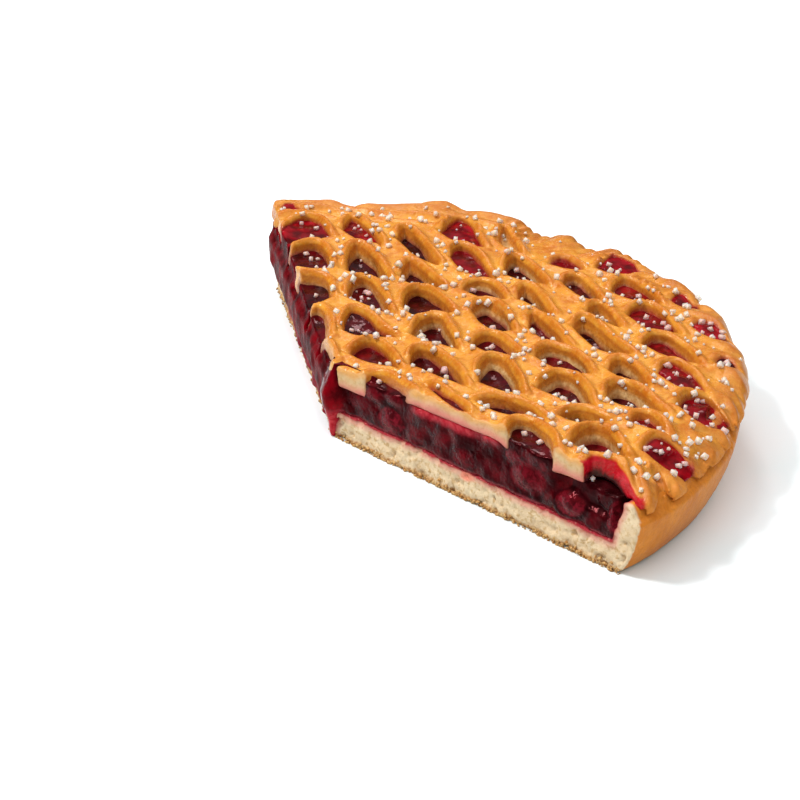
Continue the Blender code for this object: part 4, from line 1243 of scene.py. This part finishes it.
# ------------------------------------------------------------ sugar and crumbs
# patches of sugar: middle x, y, how far they spread, how many grains
SUGAR = (
    (84, -83, 3.4, 4), (98, -79, 4.1, 5), (109, -79, 1.0, 1), (76, -71, 1.0, 1),
    (87, -70, 2.7, 2), (105, -69, 1.0, 1), (74, -54, 5.5, 5), (86, -56, 1.0, 1),
    (94, -58, 5.0, 4), (104, -55, 1.0, 1), (113, -64, 4.3, 8), (121, -55, 1.0, 1),
    (52, -48, 3.4, 4), (66, -52, 1.0, 1), (76, -47, 1.0, 1), (91, -46, 3.8, 4),
    (112, -45, 4.4, 5), (128, -45, 3.5, 2), (44, -37, 3.6, 2), (58, -35, 2.8, 2),
    (76, -37, 4.6, 5), (87, -38, 1.0, 1), (121, -40, 3.8, 3), (13, -18, 1.0, 1),
    (36, -27, 1.5, 2), (53, -23, 1.0, 1), (77, -25, 1.0, 1), (96, -23, 1.0, 1),
    (108, -25, 4.0, 5), (122, -29, 4.3, 5), (21, -18, 1.0, 1), (26, -9, 1.0, 1),
    (34, -15, 5.5, 6), (47, -17, 1.0, 1), (71, -9, 1.0, 1), (92, -16, 3.8, 3), (110, -11, 4.3, 3),
    (118, -16, 1.0, 1), (130, -16, 1.0, 1), (-5, 2, 1.0, 1), (20, -6, 4.3, 3), (47, 3, 1.0, 1),
    (63, -4, 4.5, 5), (67, 1, 1.0, 2), (89, 0, 4.1, 4), (101, 2, 4.9, 4), (130, -5, 4.6, 5),
    (-4, 12, 1.0, 1), (11, 12, 3.1, 2), (34, 6, 3.1, 4), (42, 12, 1.0, 1), (53, 12, 1.0, 1),
    (65, 15, 5.0, 4), (74, 10, 1.0, 1), (103, 17, 4.2, 6), (-4, 23, 1.0, 1), (6, 25, 1.0, 1),
    (19, 19, 1.0, 1), (26, 29, 1.0, 1), (28, 18, 3.1, 3), (59, 26, 5.1, 5), (77, 28, 1.0, 1),
    (126, 29, 1.0, 1), (127, 19, 5.6, 8), (14, 33, 2.1, 2), (23, 36, 1.0, 1), (34, 41, 1.0, 1),
    (41, 32, 1.0, 1), (44, 40, 1.0, 1), (68, 36, 2.7, 3), (80, 37, 1.0, 1), (95, 40, 1.0, 1),
    (107, 33, 1.0, 1), (116, 30, 4.0, 6), (122, 40, 1.0, 2), (-10, 43, 1.0, 1), (2, 51, 4.0, 3),
    (16, 44, 4.9, 4), (44, 50, 1.0, 1), (51, 45, 1.0, 1), (86, 45, 1.4, 2), (96, 51, 5.6, 3),
    (106, 43, 1.0, 1), (109, 54, 2.9, 2), (-9, 57, 1.0, 1), (3, 64, 3.5, 3), (9, 56, 1.0, 1),
    (20, 61, 4.5, 6), (37, 57, 1.0, 1), (41, 64, 4.1, 3), (58, 64, 4.0, 4), (67, 62, 1.0, 2),
    (77, 64, 1.0, 1), (99, 59, 1.0, 1), (121, 54, 3.4, 3), (-4, 73, 5.6, 4), (21, 73, 1.0, 1),
    (98, 69, 3.8, 4), (-11, 85, 2.2, 2), (24, 84, 1.0, 1), (38, 85, 1.0, 1), (58, 85, 4.6, 4),
    (66, 88, 1.0, 1), (98, 79, 1.0, 1), (-3, 101, 2.6, 2), (19, 99, 1.0, 1), (37, 93, 4.1, 4),
    (-11, 109, 1.3, 2), (11, 106, 4.8, 7), (24, 105, 1.0, 1), (56, 105, 2.8, 2),
    (68, 103, 1.0, 1), (-18, 116, 2.5, 2), (5, 119, 1.0, 1), (14, 124, 5.1, 4), (27, 118, 3.4, 2),
    (34, 121, 1.0, 1), (55, 117, 3.8, 3), (-14, 128, 2.9, 3), (-2, 127, 2.4, 2),
)


def grain_shapes(rng, count, blocky):
    """Small closed solids about 1 across: corners of a rough block, wrapped."""
    shapes = []
    for _ in range(count):
        bm = bmesh.new()
        for a in (-1, 1):
            for b in (-1, 1):
                for c in (-1, 1):
                    corner = np.array([a, b, c]) * rng.uniform(0.34, 0.52, 3) * np.array([1.0, 0.86, 0.74])
                    if rng.random() < blocky:
                        bm.verts.new(corner)
                    else:                   # a broken corner
                        for k in range(3):
                            p = corner.copy()
                            p[k] *= rng.uniform(0.45, 0.75)
                            bm.verts.new(p)
        made = bmesh.ops.convex_hull(bm, input=bm.verts[:])
        loose = [v for v in bm.verts if not v.link_faces]
        bmesh.ops.delete(bm, geom=loose, context="VERTS")
        bmesh.ops.triangulate(bm, faces=bm.faces[:])
        bmesh.ops.recalc_face_normals(bm, faces=bm.faces[:])
        bm.verts.index_update()
        shapes.append((np.array([v.co[:] for v in bm.verts]),
                       np.array([[v.index for v in f.verts] for f in bm.faces])))
        bm.free()
    return shapes


def turned(rng):
    q = rng.normal(size=4)
    q /= np.linalg.norm(q)
    w, x, y, z = q
    return np.array([[1 - 2 * (y * y + z * z), 2 * (x * y - z * w), 2 * (x * z + y * w)],
                     [2 * (x * y + z * w), 1 - 2 * (x * x + z * z), 2 * (y * z - x * w)],
                     [2 * (x * z - y * w), 2 * (y * z + x * w), 1 - 2 * (x * x + y * y)]])


def surface_under(*objects):
    """Height and normal of the food's top straight below a place in mm."""
    from mathutils.bvhtree import BVHTree
    trees = []
    for ob in objects:
        co = coords_mm(ob)
        trees.append(BVHTree.FromPolygons(co.tolist(), [p.vertices[:] for p in ob.data.polygons]))

    def find(x, y):
        best = None
        for k, t in enumerate(trees):
            loc, no, _, _ = t.ray_cast(Vector((x, y, 60.0)), Vector((0, 0, -1)))
            if loc is not None and (best is None or loc.z > best[0].z):
                best = (loc, no, k)
        return best
    return find


def joined(name, parts, pink=None):
    verts, faces, shade, n = [], [], [], 0
    for v, f, p in parts:
        verts.append(v)
        faces.append(f + n)
        shade.append(np.full(len(v), p))
        n += len(v)
    ob = to_object(name, np.concatenate(verts), np.concatenate(faces), smooth_shade=False)
    attribute(ob, "pink", np.concatenate(shade))
    return ob


def build_sugar(lattice, filling):
    rng = np.random.default_rng(111)
    shapes = grain_shapes(rng, 36, 0.80)
    find = surface_under(lattice, filling)
    parts, placed = [], []

    def grain(x, y, size):
        if CUT[min(max(int((x - X_AXIS[0]) / GRID), 0), len(X_AXIS) - 1),
               min(max(int((y - Y_AXIS[0]) / GRID), 0), len(Y_AXIS) - 1)] > -1.0:
            return
        hit = find(x, y)
        if hit is None or hit[1].z < 0.25:
            return
        loc, no, k = hit
        for q in placed:
            if (q[0] - x) ** 2 + (q[1] - y) ** 2 < (0.8 * (size + q[2]) / 2) ** 2:
                return
        placed.append((x, y, size))
        v, f = shapes[rng.integers(len(shapes))]
        at = np.array(loc) + np.array(no) * size * 0.26
        parts.append((v @ turned(rng).T * size * rng.uniform(0.92, 1.1, 3) + at, f,
                      float(k) * rng.uniform(0.5, 1.0)))

    for cx, cy, spread, many in SUGAR:
        for _ in range(many):
            d = rng.normal(size=2) * spread * 0.72
            grain(cx + d[0], cy + d[1], rng.uniform(1.5, 2.6))
        for _ in range(rng.integers(0, 2 + many // 2)):
            d = rng.normal(size=2) * (spread + 1.0)
            grain(cx + d[0], cy + d[1], rng.uniform(0.8, 1.5))
    for _ in range(210):                    # single grains all over
        r, a = 134.0 * math.sqrt(rng.random()), rng.uniform(CUT_RIGHT, CUT_LEFT)
        grain(r * math.cos(math.radians(a)), r * math.sin(math.radians(a)), rng.uniform(0.8, 2.2))
    return joined("sugar", parts)


def build_crumbs():
    """Loose crumbs that cling along the foot of the cuts."""
    rng = np.random.default_rng(121)
    shapes = grain_shapes(rng, 24, 0.25)
    parts = []
    for cut, far, many in ((CUT_RIGHT, 129.0, 420), (CUT_LEFT, 130.0, 120)):
        for _ in range(many):
            s = 0.4 + 0.9 * rng.random() ** 2.0
            z = s * 0.30 + max(0.0, rng.normal(0.1, 0.8))
            x, y, z = along(cut, rng.uniform(1.0, far), rng.uniform(-0.45, 0.45), z)
            v, f = shapes[rng.integers(len(shapes))]
            v = v @ turned(rng).T * s + np.array([x, y, z])
            v[:, 2] = np.maximum(v[:, 2], 0.05)
            parts.append((v, f, 0.0))
    return joined("crumbs", parts)


lattice = build_lattice()
lattice.data.materials.clear()
lattice.data.materials.append(lattice_material())
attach(lattice, "root")
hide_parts("lattice_top")

filling, DULL = build_filling()
filling.data.materials.clear()
filling.data.materials.append(jelly_material("cherry_jelly", 0.11))
# the left cut is seen along its face, where a film of juice has dried duller
filling.data.materials.append(jelly_material("cherry_juice_dried", 0.004, 0.20))
filling.data.polygons.foreach_set("material_index", DULL)
filling.data.update()
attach(filling, "root")
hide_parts("cherry_filling")

crust = build_crust()
crust.data.materials.clear()
crust.data.materials.append(crust_material())
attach(crust, "root")
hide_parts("crust")

sugar = build_sugar(lattice, filling)
sugar.data.materials.append(sugar_material())
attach(sugar, "root")

crumbs = build_crumbs()
crumbs.data.materials.append(crumbs_material())
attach(crumbs, "root")


# ------------------------------------------------- floor, light, camera
def floor_material():
    n = Nodes("studio_floor")
    c = n.mix(n.ramp(n.noise(60.0, 3.0, 0.5), 0.3, 0.7), (0.815, 0.905, 0.925), (0.88, 0.92, 0.94))
    return n.finish(c, 0.75, n.bump(n.noise(3.0, 2.0, 0.5), 0.02, 0.3))


def make_floor():
    me = bpy.data.meshes.new("floor")
    s = 3.0
    me.from_pydata([(-s, -s, 0), (s, -s, 0), (s, s, 0), (-s, s, 0)], [], [(0, 1, 2, 3)])
    ob = bpy.data.objects.new("floor", me)
    bpy.context.scene.collection.objects.link(ob)
    me.materials.append(floor_material())
    ob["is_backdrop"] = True
    return ob


make_floor()


def area_light(name, direction, distance, size, watts, colour=(1, 1, 1), size_y=None):
    d = Vector(direction).normalized()
    data = bpy.data.lights.new(name, "AREA")
    data.shape = "RECTANGLE"
    data.size = size
    data.size_y = size_y or size
    data.energy = watts
    data.color = colour
    ob = bpy.data.objects.new(name, data)
    ob.location = d * distance
    ob.rotation_euler = (-d).to_track_quat("-Z", "Y").to_euler()
    bpy.context.scene.collection.objects.link(ob)
    return ob


def from_angles(azimuth, elevation):
    a, e = math.radians(azimuth), math.radians(elevation)
    return (math.cos(a) * math.cos(e), math.sin(a) * math.cos(e), math.sin(e))


area_light("key", from_angles(176, 53), 2.0, 0.40, 29.0)
area_light("back", from_angles(100, 50), 2.0, 0.35, 6.0)
area_light("front_fill", from_angles(-75, 38), 2.2, 1.2, 7.0)

world = bpy.data.worlds.new("studio")
bpy.context.scene.world = world
world.use_nodes = True
sky = world.node_tree
up_down = sky.nodes.new("ShaderNodeSeparateXYZ")
sky.links.new(sky.nodes.new("ShaderNodeTexCoord").outputs["Generated"], up_down.inputs[0])
dome = sky.nodes.new("ShaderNodeMapRange")
dome.interpolation_type = "SMOOTHSTEP"
dome.inputs["From Min"].default_value, dome.inputs["From Max"].default_value = 0.30, 0.95
dome.inputs["To Min"].default_value, dome.inputs["To Max"].default_value = 0.08, 1.40
sky.links.new(up_down.outputs["Z"], dome.inputs["Value"])
sky.links.new(dome.outputs["Result"], sky.nodes["Background"].inputs["Strength"])
sky.nodes["Background"].inputs["Color"].default_value = (1, 1, 1, 1)
bpy.context.scene.view_settings.view_transform = "Standard"


def make_camera():
    """Level by 1.64 degrees of roll, 25.45 degrees above the table, with the pie
    left and below the middle of the frame."""
    elevation, roll = math.radians(25.45), math.radians(1.64)
    lens, distance = 112.7, 0.8606
    f = lens / 36.0 * 800.0
    px, py = 334.1 - 400.0, 431.1 - 400.0
    fwd = Vector((0, math.cos(elevation), -math.sin(elevation)))
    right = Vector((1, 0, 0))
    up = right.cross(fwd)
    c, s = math.cos(roll), math.sin(roll)
    r, u = right * c + up * s, up * c - right * s
    ray = (fwd + r * (px / f) - u * (py / f)).normalized()
    place = Vector((-MID[0], -MID[1], 0)) * 0.001 - ray * distance
    data = bpy.data.cameras.new("camera")
    data.lens = lens
    data.sensor_width = 36.0
    data.clip_start, data.clip_end = 0.01, 20.0
    ob = bpy.data.objects.new("camera", data)
    ob.matrix_world = Matrix(((r.x, u.x, -fwd.x, place.x), (r.y, u.y, -fwd.y, place.y),
                              (r.z, u.z, -fwd.z, place.z), (0, 0, 0, 1)))
    bpy.context.scene.collection.objects.link(ob)
    bpy.context.scene.camera = ob


make_camera()


def plain(box):
    return [[float(v) for v in p] if hasattr(p, "__len__") else float(p) for p in box]


{"cad": plain(cad_box), "visual": plain(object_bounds())}
